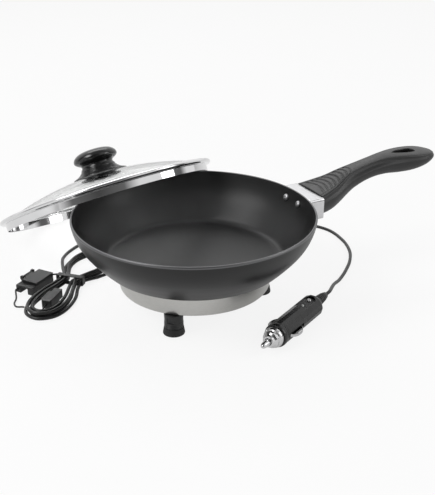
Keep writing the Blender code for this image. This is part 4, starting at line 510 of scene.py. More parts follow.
RIVET_METAL = wiped_metal("rivet_aluminium", (0.42, 0.42, 0.43), (0.60, 0.60, 0.61), 0.24)
RIVET_TURNS = (radians(5.51), radians(-5.51))
RIVET_OUT = 0.1177
RIVET_HIGH = 0.0368
WALL_LEAN = -0.3264
rivet_profile = np.vstack([
    filleted(((0.0, -0.00475), (0.0022, -0.0046), (0.0031, -0.0040), (0.0036, -0.0030)), 0.0005, 4,
             False),
    ((0.0020, -0.0030), (0.0020, 0.0029), (0.0030, 0.0029), (0.0024, 0.0038), (0.0, 0.0040)),
])
for name, turn in zip(("left", "right"), RIVET_TURNS):
    out_way = Vector((cos(turn), sin(turn), WALL_LEAN)).normalized()
    side_way = Vector((0.0, 0.0, 1.0)).cross(out_way).normalized()
    up_way = out_way.cross(side_way)
    rivet_at = Matrix((side_way, up_way, out_way)).transposed().to_4x4()
    rivet_at.translation = (RIVET_OUT * cos(turn), RIVET_OUT * sin(turn), RIVET_HIGH)
    rivet = spun("rivet_head_" + name, rivet_profile, 40, [RIVET_METAL], rivet_at)
    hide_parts("rivet_" + name)
    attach(rivet, "skillet")

# Ferrule: a folded aluminium sleeve between pan and grip, brushed along its length, with the
# seam of its top plate along each side.
FERRULE_END = 0.1370
FERRULE_HALF_W = 0.0258
FERRULE_TOP = 0.0447
FERRULE_LOW = 0.0225
FERRULE_WALL = 0.0020
WALL_SEAT = 0.0006
pan_side = pan_out[::-1]


def rounded_rectangle(half_y, half_z, radius, arc=7, side=26):
    """Outline of a rectangle with round corners, as one array of (y, z)."""
    turn = np.linspace(0.0, pi / 2.0, arc)
    corner = np.stack([np.cos(turn), np.sin(turn)], axis=1) * radius
    in_y, in_z = half_y - radius, half_z - radius
    t = np.linspace(1.0, -1.0, side)[1:-1, None]
    top = np.hstack([in_y * t, half_z + 0.0 * t])
    left = np.hstack([-half_y + 0.0 * t, in_z * t])
    quarter_turn = np.array(((0.0, 1.0), (-1.0, 0.0)))
    first = corner + (in_y, in_z)
    second = corner @ quarter_turn + (-in_y, in_z)
    return np.vstack([first, top, second, left, -first, -top, -second, -left])


def sleeve_ring(inset, share):
    """One ring of the sleeve; share 0 lies on the pan's side, 1 at the grip."""
    y, z = rounded_rectangle(FERRULE_HALF_W - inset, (FERRULE_TOP - FERRULE_LOW) / 2.0 - inset,
                             0.0019 - inset * 0.6).T
    z = z + (FERRULE_TOP + FERRULE_LOW) / 2.0
    r = np.interp(z, pan_side[:, 1], pan_side[:, 0]) + WALL_SEAT
    x = np.sqrt(r * r - y * y) * (1.0 - share) + FERRULE_END * share
    return np.stack([x, y, z], axis=1)


sleeve = [sleeve_ring(0.0003, 0.0)]
sleeve += [sleeve_ring(0.0, share) for share in (0.02, 0.2, 0.4, 0.6, 0.8, 0.975)]
sleeve += [sleeve_ring(0.0001, 0.992), sleeve_ring(0.0004, 1.0), sleeve_ring(FERRULE_WALL, 1.0),
           sleeve_ring(FERRULE_WALL, 0.0)]
f = Finish("ferrule_aluminium")
x, y, z = f.axes()
drawn = f.node("CombineXYZ", None, x * 0.05, y, z)
brush = f.noise(2600.0, 3.0, drawn, 0.6)
cloud = f.noise(70.0, 3.0)
seam = 1.0 - f.node("Math", {"operation": "ABSOLUTE"}, z - (FERRULE_TOP - 0.0021)).between(
    0.00010, 0.00034)
side_only = f.node("Math", {"operation": "ABSOLUTE"}, y).between(0.0249, 0.0255)
seam = seam * side_only
metal = f.mix(brush * 0.6 + cloud * 0.4, (0.50, 0.50, 0.51), (0.78, 0.78, 0.785))
f.surface(Base_Color=f.mix(seam, metal, (0.03, 0.03, 0.03)), Metallic=1.0,
          Roughness=brush * 0.16 + 0.27,
          Normal=f.bump(brush * 0.12 - seam, 0.0002, 0.6))
FERRULE_METAL = f.material
ferrule = skin_of("ferrule_sleeve", np.array(sleeve), [FERRULE_METAL], None, True)
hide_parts("handle_ferrule")
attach(ferrule, "skillet")

# Grip: one black moulding, satin and finely spark-eroded, with eight bowed grooves for the
# thumb inside a smooth border, a scooped flank and a hanging slot through the end.
GRIP_START = 0.1373
GRIP_LENGTH = 0.1592
GRIP_HALF = 0.0250
GRIP_TOP_RISE = 0.0222
GRIP_UNDER_RISE = 0.0357
GRIP_TABLE = np.array((
    (0.0, 0.023, 0.928, 1.0, -0.020), (0.048, 0.095, 0.856, 0.944, -0.036),
    (0.111, 0.194, 0.760, 0.864, 0.025), (0.174, 0.329, 0.624, 0.744, 0.140),
    (0.237, 0.518, 0.488, 0.632, 0.294), (0.300, 0.653, 0.408, 0.568, 0.457),
    (0.394, 0.788, 0.368, 0.544, 0.619), (0.488, 0.905, 0.368, 0.544, 0.697),
    (0.582, 0.986, 0.424, 0.584, 0.709), (0.677, 1.0, 0.544, 0.648, 0.675),
    (0.771, 0.973, 0.640, 0.704, 0.669), (0.846, 0.932, 0.672, 0.724, 0.714),
    (0.909, 0.892, 0.624, 0.680, 0.787), (0.959, 0.842, 0.496, 0.556, 0.882),
    (0.987, 0.797, 0.328, 0.384, 0.950), (1.0, 0.748, 0.160, 0.192, 1.0),
))
GRIP_CROWN = 0.0012
GRIP_CLOSES = 0.2860
GRIP_NOSE = 0.0105
RIBS_FROM = 0.1440
RIBS_TO = 0.1880
RIB_COUNT = 8
RIB_DEPTH = 0.0010
RIB_BOW = 0.30
lengthways = smooth_curve(np.stack([
    GRIP_START + GRIP_TABLE[:, 0] * GRIP_LENGTH, FERRULE_TOP + GRIP_TABLE[:, 1] * GRIP_TOP_RISE,
    GRIP_TABLE[:, 2] * GRIP_HALF, GRIP_TABLE[:, 3] * GRIP_HALF,
    FERRULE_LOW + GRIP_TABLE[:, 4] * GRIP_UNDER_RISE], axis=1), 400)
stations = np.unique(np.concatenate([
    np.linspace(GRIP_START, RIBS_FROM, 6), np.linspace(RIBS_FROM, RIBS_TO, 121),
    np.linspace(RIBS_TO, GRIP_CLOSES, 80),
    GRIP_START + GRIP_LENGTH - GRIP_NOSE * np.cos(np.linspace(0.0, pi / 2.0, 22)) ** 2]))
stations = stations[stations <= GRIP_START + GRIP_LENGTH]
top, face, body, under = (np.interp(stations, lengthways[:, 0], lengthways[:, k])[:, None]
                          for k in range(1, 5))
deep = top - under

# Half section, from the middle of the top over the border and down the flank: (share of the
# half width it belongs to, height). The top is face wide, the flank body wide.
inlay = np.array((0.0, 0.2, 0.4, 0.6, 0.72, 0.78))
top_y = face * inlay
top_z = top + GRIP_CROWN * (1.0 - inlay ** 2)
step = np.array(((0.800, -0.00035), (0.815, 0.0), (0.86, 0.00010), (0.93, -0.00005),
                 (0.975, -0.00045), (1.0, -0.0011)))
edge_y = face * step[:, 0]
edge_z = top + GRIP_CROWN * (1.0 - step[:, 0] ** 2) + step[:, 1]
flank = np.array(((0.22, 0.15), (0.62, 0.235), (1.0, 0.34)))
flank_y = face + (body - face) * flank[:, 0]
flank_z = top - deep * flank[:, 1]
belly = np.array(((0.995, 0.50), (0.93, 0.68), (0.80, 0.83), (0.55, 0.935), (0.27, 0.985)))
belly_y = body * belly[:, 0]
belly_z = top - deep * belly[:, 1]
knots_y = np.hstack([top_y, edge_y, flank_y, belly_y, 0.0 * under])
knots_z = np.hstack([top_z, edge_z, flank_z, belly_z, under])
weights = spline_weights(knots_y.shape[1], 4)
half_y, half_z = knots_y @ weights.T, knots_z @ weights.T
bowed = stations[:, None] + RIB_BOW * half_y ** 2 / face
phase = (bowed - RIBS_FROM) / (RIBS_TO - RIBS_FROM) * RIB_COUNT
groove = (0.5 - 0.5 * np.cos(2.0 * pi * phase)) ** 3
reach_y = np.clip((0.76 - half_y / face) / 0.06, 0.0, 1.0)
reach_x = ((phase > 0.0) & (phase < RIB_COUNT)) * 1.0
on_top = (np.arange(half_y.shape[1]) < 24) * 1.0
half_z = half_z - RIB_DEPTH * groove * reach_y * reach_x * on_top
ring_y = np.hstack([half_y, -half_y[:, -2:0:-1]])
ring_z = np.hstack([half_z, half_z[:, -2:0:-1]])
ring_x = np.broadcast_to(stations[:, None], ring_y.shape)
f = Finish("grip_moulding")
spark = f.noise(3200.0, 2.0)
cloud = f.noise(60.0, 3.0)
rubbed = f.noise(300.0, 3.0)
f.surface(Base_Color=f.mix(cloud.between(0.3, 0.8), (0.0045, 0.0045, 0.0047),
                           (0.0090, 0.0090, 0.0093)),
          Roughness=cloud * 0.12 + rubbed * 0.06 + 0.30, Specular_IOR_Level=0.5,
          Normal=f.bump(spark + rubbed * 0.4, 0.00004, 0.5))
GRIP_PLASTIC = f.material


def carved(ob, cutters):
    """The object less its cutters, made final; the cutters are removed."""
    for cutter in cutters:
        tool = ob.modifiers.new("cut", "BOOLEAN")
        tool.operation = "DIFFERENCE"
        tool.solver = "EXACT"
        tool.object = cutter
    bpy.context.view_layer.update()
    graph = bpy.context.evaluated_depsgraph_get()
    mesh = bpy.data.meshes.new_from_object(ob.evaluated_get(graph))
    old = ob.data
    ob.modifiers.clear()
    ob.data = mesh
    bpy.data.meshes.remove(old)
    for cutter in cutters:
        bpy.data.objects.remove(cutter)
    ob.data.shade_smooth()
    ob.data.set_sharp_from_angle(angle=radians(38.0))
    return ob


grip = skin_of("grip_body", np.stack([ring_x, ring_y, ring_z], axis=2), [GRIP_PLASTIC], None,
               False, 50.0)
slot_half = np.array(((0.0, 0.0), (0.15, 0.433), (0.333, 0.767), (0.567, 0.967), (0.8, 1.0),
                      (0.95, 0.8), (1.0, 0.333))) * (0.0300, 0.0060) + (0.2420, 0.0)
slot_line = smooth_curve(np.vstack([slot_half, slot_half[:0:-1] * (1, -1), slot_half[:1]]), 73)[:-1]
slot_mid = np.array((0.2590, 0.0))
slot_way = slot_line - slot_mid
slot_way /= np.linalg.norm(slot_way, axis=1)[:, None]
slot_rings = []
for grow, above, below in ((0.0016, 0.0030, 0.0), (0.0011, 0.0010, 0.0), (0.0005, -0.0002, 0.0),
                           (0.0001, -0.0009, 0.0), (0.0, -0.0018, 0.0), (0.0, 0.0, 0.0015),
                           (0.0003, 0.0, 0.0004), (0.0012, 0.0, -0.0010), (0.0016, 0.0, -0.0040)):
    line = slot_line + slot_way * grow
    high = np.interp(line[:, 0], lengthways[:, 0], lengthways[:, 1]) + GRIP_CROWN + above
    low = np.interp(line[:, 0], lengthways[:, 0], lengthways[:, 4]) + below
    slot_rings.append(np.c_[line, high if below == 0.0 and above != 0.0 else low])
slot_cutter = skin_of("slot_cutter", np.array(slot_rings), [GRIP_PLASTIC])
bore_cutter = spun("bore_cutter", ((0.0, 0.005), (0.0039, 0.005), (0.0039, 0.0285), (0.0, 0.0285)),
                   32, [GRIP_PLASTIC], Matrix.Translation((0.1600, 0.0, 0.0)))
carved(grip, [slot_cutter, bore_cutter])
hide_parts("handle_grip")
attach(grip, "skillet")


# Base band: a spun stainless cup round the heating parts, brushed round and round, with its
# lips rolled in above and below.
BAND_TOP_R = 0.0794
BAND_LOW_R = 0.0749
BAND_TOP = -0.0043
BAND_LOW = -0.0252
BAND_WALL = 0.0011
band_profile = filleted((
    (BAND_TOP_R - 0.0059, BAND_TOP), (BAND_TOP_R, BAND_TOP), (BAND_LOW_R, BAND_LOW),
    (BAND_LOW_R - 0.0114, BAND_LOW), (BAND_LOW_R - 0.0114, BAND_LOW + BAND_WALL),
    (BAND_LOW_R - BAND_WALL, BAND_LOW + BAND_WALL), (BAND_TOP_R - BAND_WALL, BAND_TOP - BAND_WALL),
    (BAND_TOP_R - 0.0059, BAND_TOP - BAND_WALL),
), 0.0009, 4)


def lathe_metal(name, dark, light, rough, ridges=5200.0, depth=0.00002):
    """Metal brushed on a lathe: fine rings across the height, long streaks round the axis."""
    f = Finish(name)
    x, y, z = f.axes()
    turn = f.node("Math", {"operation": "ARCTAN2"}, y, x)
    drawn = f.node("CombineXYZ", None, turn.math("SINE", turn) * 0.012,
                   turn.math("COSINE", turn) * 0.012, z)
    rings = f.noise(ridges, 3.0, drawn, 0.6)
    long_rings = f.noise(ridges * 0.22, 2.0, drawn, 0.6)
    cloud = f.noise(30.0, 3.0)
    share = rings * 0.45 + long_rings * 0.35 + cloud * 0.2
    f.surface(Base_Color=f.mix(share, dark, light), Metallic=1.0,
              Roughness=rings * 0.12 + cloud * 0.10 + rough,
              Normal=f.bump(rings, depth, 0.6))
    return f.material


BAND_STEEL = lathe_metal("brushed_band", (0.42, 0.415, 0.40), (0.72, 0.715, 0.69), 0.22)
band = spun("base_shell", band_profile, 160, [BAND_STEEL])
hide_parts("base_band")
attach(band, "skillet")

# Feet: a moulded leg with a sunk window, three grip rings low down, and a rubber pad under it,
# screwed up into the base.
FOOT_RING_R = 0.0692
FOOT_R = 0.0094
FOOT_TOP = -0.0255
LEG_LOW = -0.0400
PAD_TOP = -0.0403
leg_rings = []
for height in (-0.0352, -0.0369, -0.0386):
    leg_rings += [(FOOT_R * 0.985, height + 0.0004), (FOOT_R * 0.945, height),
                  (FOOT_R * 0.985, height - 0.0004)]
leg_profile = filleted(np.vstack([
    ((0.0023, FOOT_TOP), (FOOT_R * 0.989, FOOT_TOP), (FOOT_R * 0.955, -0.0330)), leg_rings,
    ((FOOT_R, LEG_LOW), (0.0046, LEG_LOW), (0.0046, -0.0310), (0.0023, -0.0310)),
]), 0.0004, 3)
pad_profile = filleted(((0.0046, PAD_TOP), (FOOT_R * 1.021, PAD_TOP),
                        (FOOT_R * 1.043, PAD_TOP - 0.0016), (FOOT_R * 1.128, STAND + 0.0008),
                        (FOOT_R * 1.10, STAND), (0.0046, STAND)), 0.0005, 3)
f = Finish("leg_moulding")
cloud = f.noise(160.0, 3.0)
spark = f.noise(2600.0, 2.0)
f.surface(Base_Color=f.mix(cloud, (0.0080, 0.0080, 0.0083), (0.0150, 0.0150, 0.0154)),
          Roughness=cloud * 0.14 + 0.26, Normal=f.bump(spark, 0.00003, 0.4))
LEG_PLASTIC = f.material
f = Finish("foot_rubber")
cloud = f.noise(240.0, 3.0)
dust = f.noise(900.0, 3.0)
x, y, z = f.axes()
scuffed = (1.0 - z.between(STAND, STAND + 0.0020)) * dust.between(0.4, 0.7)
f.surface(Base_Color=f.mix(scuffed * 0.5, (0.0120, 0.0120, 0.0120), (0.0500, 0.0490, 0.0480)),
          Roughness=cloud * 0.15 + 0.52, Normal=f.bump(dust, 0.00005, 0.4))
FOOT_RUBBER = f.material
f = Finish("screw_steel")
x, y, z = f.axes()
turned = f.noise(3800.0, 2.0)
stain = f.noise(300.0, 2.0)
f.surface(Base_Color=f.mix(stain, (0.42, 0.42, 0.42), (0.60, 0.60, 0.60)), Metallic=1.0,
          Roughness=turned * 0.15 + 0.24, Normal=f.bump(turned, 0.00002, 0.4))
SCREW_STEEL = f.material


def rounded_box(name, size, centre, radius, finishes, matrix=None, arc=5):
    """A block whose edges are all rounded: a rounded outline with its ends drawn in."""
    outline = rounded_rectangle(size[1] / 2.0, size[2] / 2.0, radius, arc, 4)
    share = np.linspace(0.0, pi / 2.0, arc)
    inset = np.concatenate([1.0 - np.sin(share), (1.0 - np.sin(share))[::-1]]) * radius
    along = np.concatenate([-size[0] / 2.0 + (1.0 - np.cos(share)) * radius,
                            size[0] / 2.0 - ((1.0 - np.cos(share)) * radius)[::-1]])
    half = np.array(((size[1] / 2.0, size[2] / 2.0),))
    scale = (half[None] - inset[:, None, None]) / half[None]
    flat = outline[None] * scale
    rings = np.concatenate([np.broadcast_to(along[:, None, None], flat.shape[:2] + (1,)), flat],
                           axis=2) + np.array(centre)
    return skin_of(name, rings, finishes, matrix)


for index, letter in enumerate("abc"):
    turn = radians(-135.0 + 120.0 * index)
    foot_at = Matrix.Rotation(turn, 4, "Z")
    foot_at.translation = (FOOT_RING_R * cos(turn), FOOT_RING_R * sin(turn), 0.0)
    leg = spun("leg_" + letter, leg_profile, 64, [LEG_PLASTIC], foot_at)
    window = rounded_box("window_cutter", (0.0030, 0.0084, 0.0058), (FOOT_R * 0.947, 0.0, -0.0308),
                         0.0008, [LEG_PLASTIC], foot_at)
    carved(leg, [window])
    pad = spun("pad_" + letter, pad_profile, 64, [FOOT_RUBBER], foot_at)
    for piece, node, slot in ((leg, "foot_leg_", "plug_plastic"),
                              (pad, "foot_pad_", "foot_rubber")):
        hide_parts(node + letter)
        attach(piece, "skillet")

# Gland: the moulded rubber sleeve that holds the cord where it leaves the base, ribbed so that
# it bends in a curve.
gland_at = Matrix(((0.03655, 0.98481, 0.16976, 0.0133), (0.20729, -0.17365, 0.96274, 0.07545),
                   (0.9776, 0.0, -0.21049, -0.01726), (0.0, 0.0, 0.0, 1.0)))
rib_s = np.linspace(0.0046, 0.0218, 90)
rib_r = np.interp(rib_s, (0.0040, 0.0225), (0.0046, 0.0030))
rib_r = rib_r - 0.0005 * (np.sin(2.0 * pi * (rib_s - 0.0046) / 0.0024) > 0.2)
gland_profile = np.vstack([
    ((0.0022, 0.0009), (0.0056, 0.0009), (0.0058, 0.0013), (0.0057, 0.0024), (0.0048, 0.0038)),
    np.stack([rib_r, rib_s], axis=1), ((0.0029, 0.0225), (0.0022, 0.0225)),
])


def speckled(name, dark, light, scale, detail, rough, spread, depth, strength):
    """A finish that one noise drives: its colour, its gloss and its relief."""
    f = Finish(name)
    grain = f.noise(scale, detail)
    return f.surface(Base_Color=f.mix(grain, dark, light), Roughness=grain * spread + rough,
                     Normal=f.bump(grain, depth, strength))


GLAND_RUBBER = speckled("gland_rubber", (0.0100, 0.0100, 0.0100), (0.0190, 0.0190, 0.0190),
                        700.0, 3.0, 0.42, 0.15, 0.00004, 0.4)
gland = spun("gland_sleeve", gland_profile, 40, [GLAND_RUBBER], gland_at)
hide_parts("cord_gland")
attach(gland, "skillet")


# Lid: a shallow dome of clear tempered glass in a rolled stainless rim; it leans on the pan, so
# all its pieces are made in its own frame and turned into place.
def set_down(piece, node, body="skillet"):
    """The piece takes the place of a part: the part is hidden and the piece moves with the body."""
    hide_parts(node)
    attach(piece, body)


lid_at = Matrix(((-0.1323, -0.98849, -0.07333, -0.02465), (0.86456, -0.15126, 0.47923, 0.16112),
                 (-0.48481, 0.0, 0.87462, 0.0177), (0.0, 0.0, 0.0, 1.0)))
GLASS_R = 0.1138
GLASS_T = 0.0027
GLASS_HOLE_R = 0.0032
GLASS_RISE = 0.0195
GLASS_BEND_R = 0.1090
glass_r = np.concatenate([np.linspace(GLASS_HOLE_R, GLASS_BEND_R, 40),
                          np.linspace(0.1098, GLASS_R, 4)])
glass_z = GLASS_RISE * np.maximum(0.0, 1.0 - (glass_r / GLASS_BEND_R) ** 2) - 0.0003
glass_profile = np.vstack([np.stack([glass_r, glass_z], axis=1),
                           np.stack([glass_r, glass_z + GLASS_T], axis=1)[::-1]])
f = Finish("clear_glass")
rays = f.tree.nodes.new("ShaderNodeLightPath")
shadow = Socket(f, rays.outputs["Is Shadow Ray"])
smear = f.noise(60.0, 3.0)
f.surface(Base_Color=f.mix(smear, (0.965, 0.975, 0.970), (0.985, 0.990, 0.988)),
          Roughness=smear.between(0.5, 0.8) * 0.008, Transmission_Weight=1.0, IOR=1.45,
          Alpha=1.0 - shadow * 0.92)
LID_GLASS = f.material
set_down(spun("lid_dome", glass_profile, 160, [LID_GLASS], lid_at), "lid_glass", "lid")

# Rim: polished stainless strip rolled over the glass edge, with a bead and a skirt; turned like
# a mirror, with faint drawing rings and hand marks.
rim_profile = filleted((
    (0.1096, 0.0027), (0.1096, 0.0033), (0.1150, 0.0031), (0.1190, 0.0023), (0.1206, 0.0012),
    (0.1210, 0.0), (0.1206, -0.0013), (0.1190, -0.0024), (0.1154, -0.0027), (0.1152, -0.0100),
    (0.1144, -0.0103), (0.1144, -0.0012), (0.1100, -0.0012), (0.1100, -0.0006),
    (0.1141, -0.0006), (0.1141, 0.0027),
), 0.0006, 4)


def polished(name, dark, light, rough):
    """Mirror-polished metal, clouded by handling and crossed by hair-fine scratches."""
    f = Finish(name)
    cloud = f.noise(55.0, 3.0)
    scratch = f.noise(1800.0, 3.0)
    f.surface(Base_Color=f.mix(cloud, dark, light), Metallic=1.0,
              Roughness=cloud.between(0.35, 0.8) * 0.06 + scratch * 0.03 + rough,
              Normal=f.bump(scratch, 0.000006, 0.3))
    return f.material


RIM_STEEL = polished("polished_rim", (0.66, 0.66, 0.665), (0.76, 0.76, 0.765), 0.03)
rim = spun("lid_band", rim_profile, 192, [RIM_STEEL], lid_at)
set_down(rim, "lid_rim", "lid")

# Knob: a phenolic mushroom on a flared guard with turned ridges; a screw through the glass and a
# steel washer hold them.
flare_top = np.array(((0.0302, 0.02211), (0.0250, 0.02431), (0.02099, 0.02751),
                      (0.01919, 0.03031), (0.0186, 0.03151)))
flare_line = smooth_curve(flare_top, 90)
flare_share = np.linspace(0.0, 1.0, len(flare_line))
flare_line[:, 0] -= 0.00045 * (0.5 - 0.5 * np.cos(2.0 * pi * 7.0 * flare_share)) * (
    flare_share < 0.86)
flare_profile = np.vstack([
    ((0.0026, 0.02234), (0.01176, 0.02212), (0.02091, 0.02163), (0.02968, 0.0209),
     (0.0306, 0.02132)), flare_line, ((0.0026, 0.03151),)])
f = Finish("phenolic")
cloud = f.noise(70.0, 3.0)
flow = f.noise(700.0, 3.0)
f.surface(Base_Color=f.mix(cloud.between(0.3, 0.8), (0.0060, 0.0060, 0.0062),
                           (0.0110, 0.0110, 0.0112)),
          Roughness=cloud * 0.10 + 0.13, Specular_IOR_Level=0.55,
          Normal=f.bump(flow, 0.00002, 0.3))
PHENOLIC = f.material
flare = spun("knob_guard", flare_profile, 96, [PHENOLIC], lid_at)
set_down(flare, "knob_skirt", "lid")
knob_line = smooth_curve(((0.0, 0.05051), (0.011, 0.04991), (0.0182, 0.04812), (0.0228, 0.04492),
                          (0.0246, 0.04131), (0.02401, 0.03871), (0.02121, 0.03651),
                          (0.0184, 0.03492), (0.01759, 0.03331), (0.01801, 0.03181)), 70)
knob_line[0, 0] = 0.0
knob = spun("knob_cap", np.vstack([knob_line, ((0.0022, 0.03181), (0.0022, 0.04291),
                                               (0.0, 0.04291))]), 96, [PHENOLIC], lid_at)
set_down(knob, "lid_knob", "lid")
washer = spun("knob_washer_ring", filleted(((0.0022, 0.01708), (0.0085, 0.01708),
                                            (0.0085, 0.01848), (0.0022, 0.01848)), 0.0003, 3),
              48, [SCREW_STEEL], lid_at)
set_down(washer, "knob_washer", "lid")
screw = spun("knob_bolt", np.vstack([
    ((0.0, 0.01600), (0.0006, 0.01600), (0.0009, 0.01470)),
    filleted(((0.0034, 0.01458), (0.0042, 0.01530), (0.0042, 0.01678)), 0.0003, 3, False),
    ((0.0018, 0.01678), (0.0018, 0.0396), (0.0014, 0.0399), (0.0, 0.0399))]), 40,
    [SCREW_STEEL], lid_at)
set_down(screw, "knob_screw", "lid")

# Hank tie: a flat vinyl band drawn round the strands at the waist of the hank and welded to
# itself; its cut edges show paler.
TIE_HALF = 0.0152
TIE_LOW = 0.0014
TIE_HIGH = 0.0112
TIE_T = 0.0011
TIE_ALONG = 0.0030
hank_at = Matrix.Rotation(HANK_TURN, 4, "Z")
hank_at.translation = (HANK_CENTRE[0], HANK_CENTRE[1], 0.0)
tie_rings = []
for along, grow, corner in (
    (-1.0, 0.15, 0.0016), (-0.93, 0.0, 0.0016), (0.93, 0.0, 0.0016), (1.0, 0.15, 0.0016),
    (1.0, 0.85, 0.0007), (0.93, 1.0, 0.0007), (-0.93, 1.0, 0.0007), (-1.0, 0.85, 0.0007),
):
    side, tall = rounded_rectangle(TIE_HALF - grow * TIE_T,
                                   (TIE_HIGH - TIE_LOW) / 2.0 - grow * TIE_T, corner, 6, 20).T
    tie_rings.append(np.stack([0.0 * side + along * TIE_ALONG, side,
                               tall + STAND + (TIE_HIGH + TIE_LOW) / 2.0], axis=1))
f = Finish("tie_vinyl")
cloud = f.noise(200.0, 3.0)
f.surface(Base_Color=f.mix(cloud.between(0.45, 0.8), (0.012, 0.012, 0.012), (0.030, 0.030, 0.031)),
          Roughness=cloud * 0.15 + 0.28, Normal=f.bump(cloud, 0.00005, 0.3))
TIE_VINYL = f.material
tie = skin_of("tie_band", np.array(tie_rings), [TIE_VINYL], hank_at, True)
set_down(tie, "hank_tie")

# Thin leads: single black wires of the fuse holder and the coupler, crimped at each end.
holder_lead_points = smooth_curve((
    (-0.11668, 0.11588, -0.0433), (-0.11529, 0.117, -0.04325), (-0.11389, 0.11777, -0.04328),
    (-0.11204, 0.11783, -0.04353), (-0.1102, 0.11783, -0.0438), (-0.10835, 0.11781, -0.04407),
    (-0.10651, 0.11777, -0.04434), (-0.10467, 0.11771, -0.04462), (-0.10283, 0.11762, -0.04488),
    (-0.10099, 0.11745, -0.04513), (-0.09996, 0.11637, -0.04514), (-0.09887, 0.11493, -0.0451),
), 40)
holder_wire_points = smooth_curve((
    (-0.15164, 0.10176, -0.0429), (-0.15423, 0.10076, -0.0427), (-0.15548, 0.09821, -0.04322),
    (-0.15624, 0.09548, -0.04392), (-0.15698, 0.09274, -0.0446), (-0.15778, 0.09, -0.04523),
    (-0.15881, 0.08731, -0.0457), (-0.16022, 0.08477, -0.04593), (-0.16181, 0.08232, -0.04599),
    (-0.16321, 0.07976, -0.04599), (-0.16405, 0.07697, -0.046), (-0.16442, 0.07408, -0.04595),
    (-0.16407, 0.0712, -0.04581), (-0.16235, 0.0689, -0.04555), (-0.16, 0.0672, -0.04524),
    (-0.15785, 0.06527, -0.0451),
), 60)
coupler_lead_points = smooth_curve((
    (-0.13906, 0.05375, -0.0427), (-0.14011, 0.05277, -0.04263), (-0.14116, 0.05179, -0.04267),
    (-0.14218, 0.05082, -0.04295), (-0.1432, 0.04987, -0.04332), (-0.14421, 0.04893, -0.04371),
    (-0.14522, 0.04798, -0.04409), (-0.14623, 0.04703, -0.04448), (-0.14725, 0.04608, -0.04485),
    (-0.14828, 0.04512, -0.04513), (-0.14933, 0.04414, -0.04517), (-0.15037, 0.04316, -0.0451),
), 30)
leads = {}
for node, name, points in (("holder_lead", "holder_lead_wire", holder_lead_points),
                           ("holder_wire", "holder_long_wire", holder_wire_points),
                           ("coupler_lead", "coupler_lead_wire", coupler_lead_points)):
    leads[node] = cord_line(name, points, THIN_R, CORD_JACKET)
    set_down(leads[node], node)

# Fuse holder, its hinged cap, and the coupler: small polypropylene mouldings, satin, with a
# slightly frosted skin; the blade fuse is clear amber over tin-plated legs.


def moulding(name, dark, light, rough, spread, cloud, grain, depth, strength):
    """Black moulded plastic: cloudy in colour and gloss, finely grained."""
    f = Finish(name)
    shade = f.noise(cloud, 3.0)
    return f.surface(Base_Color=f.mix(shade.between(0.3, 0.8), dark, light),
                     Roughness=shade * spread + rough,
                     Normal=f.bump(f.noise(grain, 2.0), depth, strength))


HOLDER_PLASTIC = moulding("holder_moulding", (0.0090, 0.0090, 0.0092), (0.0170, 0.0170, 0.0174),
                          0.32, 0.14, 140.0, 2200.0, 0.00003, 0.5)
FUSE_AMBER = speckled("fuse_amber_body", (0.72, 0.26, 0.03), (0.86, 0.38, 0.06),
                      400.0, 2.0, 0.12, 0.08, 0.00002, 0.3)


def keeps(material, *nodes):
    """A part whose own solid is right stays, and takes this finish."""
    for node in nodes:
        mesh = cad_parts[node].data
        mesh.materials.clear()
        mesh.materials.append(material)


keeps(HOLDER_PLASTIC, "fuse_holder", "fuse_cap", "coupler_block")
keeps(FUSE_AMBER, "blade_fuse")

# Vehicle plug: two black shells screwed together round a sprung fuse and tip, with a bowed
# contact strip in a slot on each side, a collar, and a plated nose ring.
PLUG_PLASTIC = moulding("plug_moulding", (0.0060, 0.0060, 0.0062), (0.0115, 0.0115, 0.0118),
                        0.21, 0.12, 90.0, 2800.0, 0.00002, 0.4)
keeps(PLUG_PLASTIC, "plug_shell_top", "plug_shell_base")
PLATED = polished("plated_nose", (0.56, 0.56, 0.565), (0.72, 0.72, 0.725), 0.08)
SPRING_STRIP = polished("contact_strip", (0.50, 0.50, 0.505), (0.66, 0.66, 0.665), 0.12)
keeps(SPRING_STRIP, "contact_left", "contact_right")
SPRING_FROM = 0.0578
SPRING_TO = 0.0692
SPRING_R = 0.0024
WIRE_R = 0.0003
SPRING_TURNS = 5.0
wind = np.linspace(0.0, 1.0, 161)[:, None]
coil_turn = 2.0 * pi * SPRING_TURNS * wind
round_wire = np.linspace(0.0, 2.0 * pi, 8, endpoint=False)[None, :]
out_r = SPRING_R + WIRE_R * np.cos(round_wire)
along = SPRING_FROM + WIRE_R + (SPRING_TO - SPRING_FROM - 2.0 * WIRE_R) * wind
spring_rings = np.stack([out_r * np.cos(coil_turn), out_r * np.sin(coil_turn),
                         along + WIRE_R * np.sin(round_wire)], axis=2)
spring = skin_of("plug_spring", spring_rings, [SPRING_STRIP], plug_at)
set_down(spring, "tip_spring")
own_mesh(spring)
GLASS_FUSE = wiped_metal("fuse_caps", (0.50, 0.50, 0.50), (0.68, 0.68, 0.67), 0.20)
keeps(GLASS_FUSE, "plug_fuse")
relief_s = np.linspace(0.0062, 0.0184, 60)
relief_r = np.interp(relief_s, (0.0060, 0.0185), (0.0044, 0.0056))
relief_r = relief_r - 0.0005 * (np.sin(2.0 * pi * (relief_s - 0.0062) / 0.0030) > 0.55)
relief_profile = np.vstack([
    ((0.0022, 0.0002), (0.0028, 0.0), (0.0031, 0.0004), (0.0043, 0.0056)),
    np.stack([relief_r, relief_s], axis=1),
    ((0.0056, 0.0185), (0.0066, 0.0195), (0.0066, 0.0221), (0.0046, 0.0223), (0.0046, 0.0268),
     (0.0064, 0.0270), (0.0064, 0.0285), (0.0030, 0.0286), (0.0030, 0.0200), (0.0022, 0.0200)),
])
relief = spun("plug_relief_sleeve", relief_profile, 40, [GLAND_RUBBER], plug_at)
set_down(relief, "plug_relief")
COLLAR_R = 0.0116
COLLAR_BORE = 0.0053
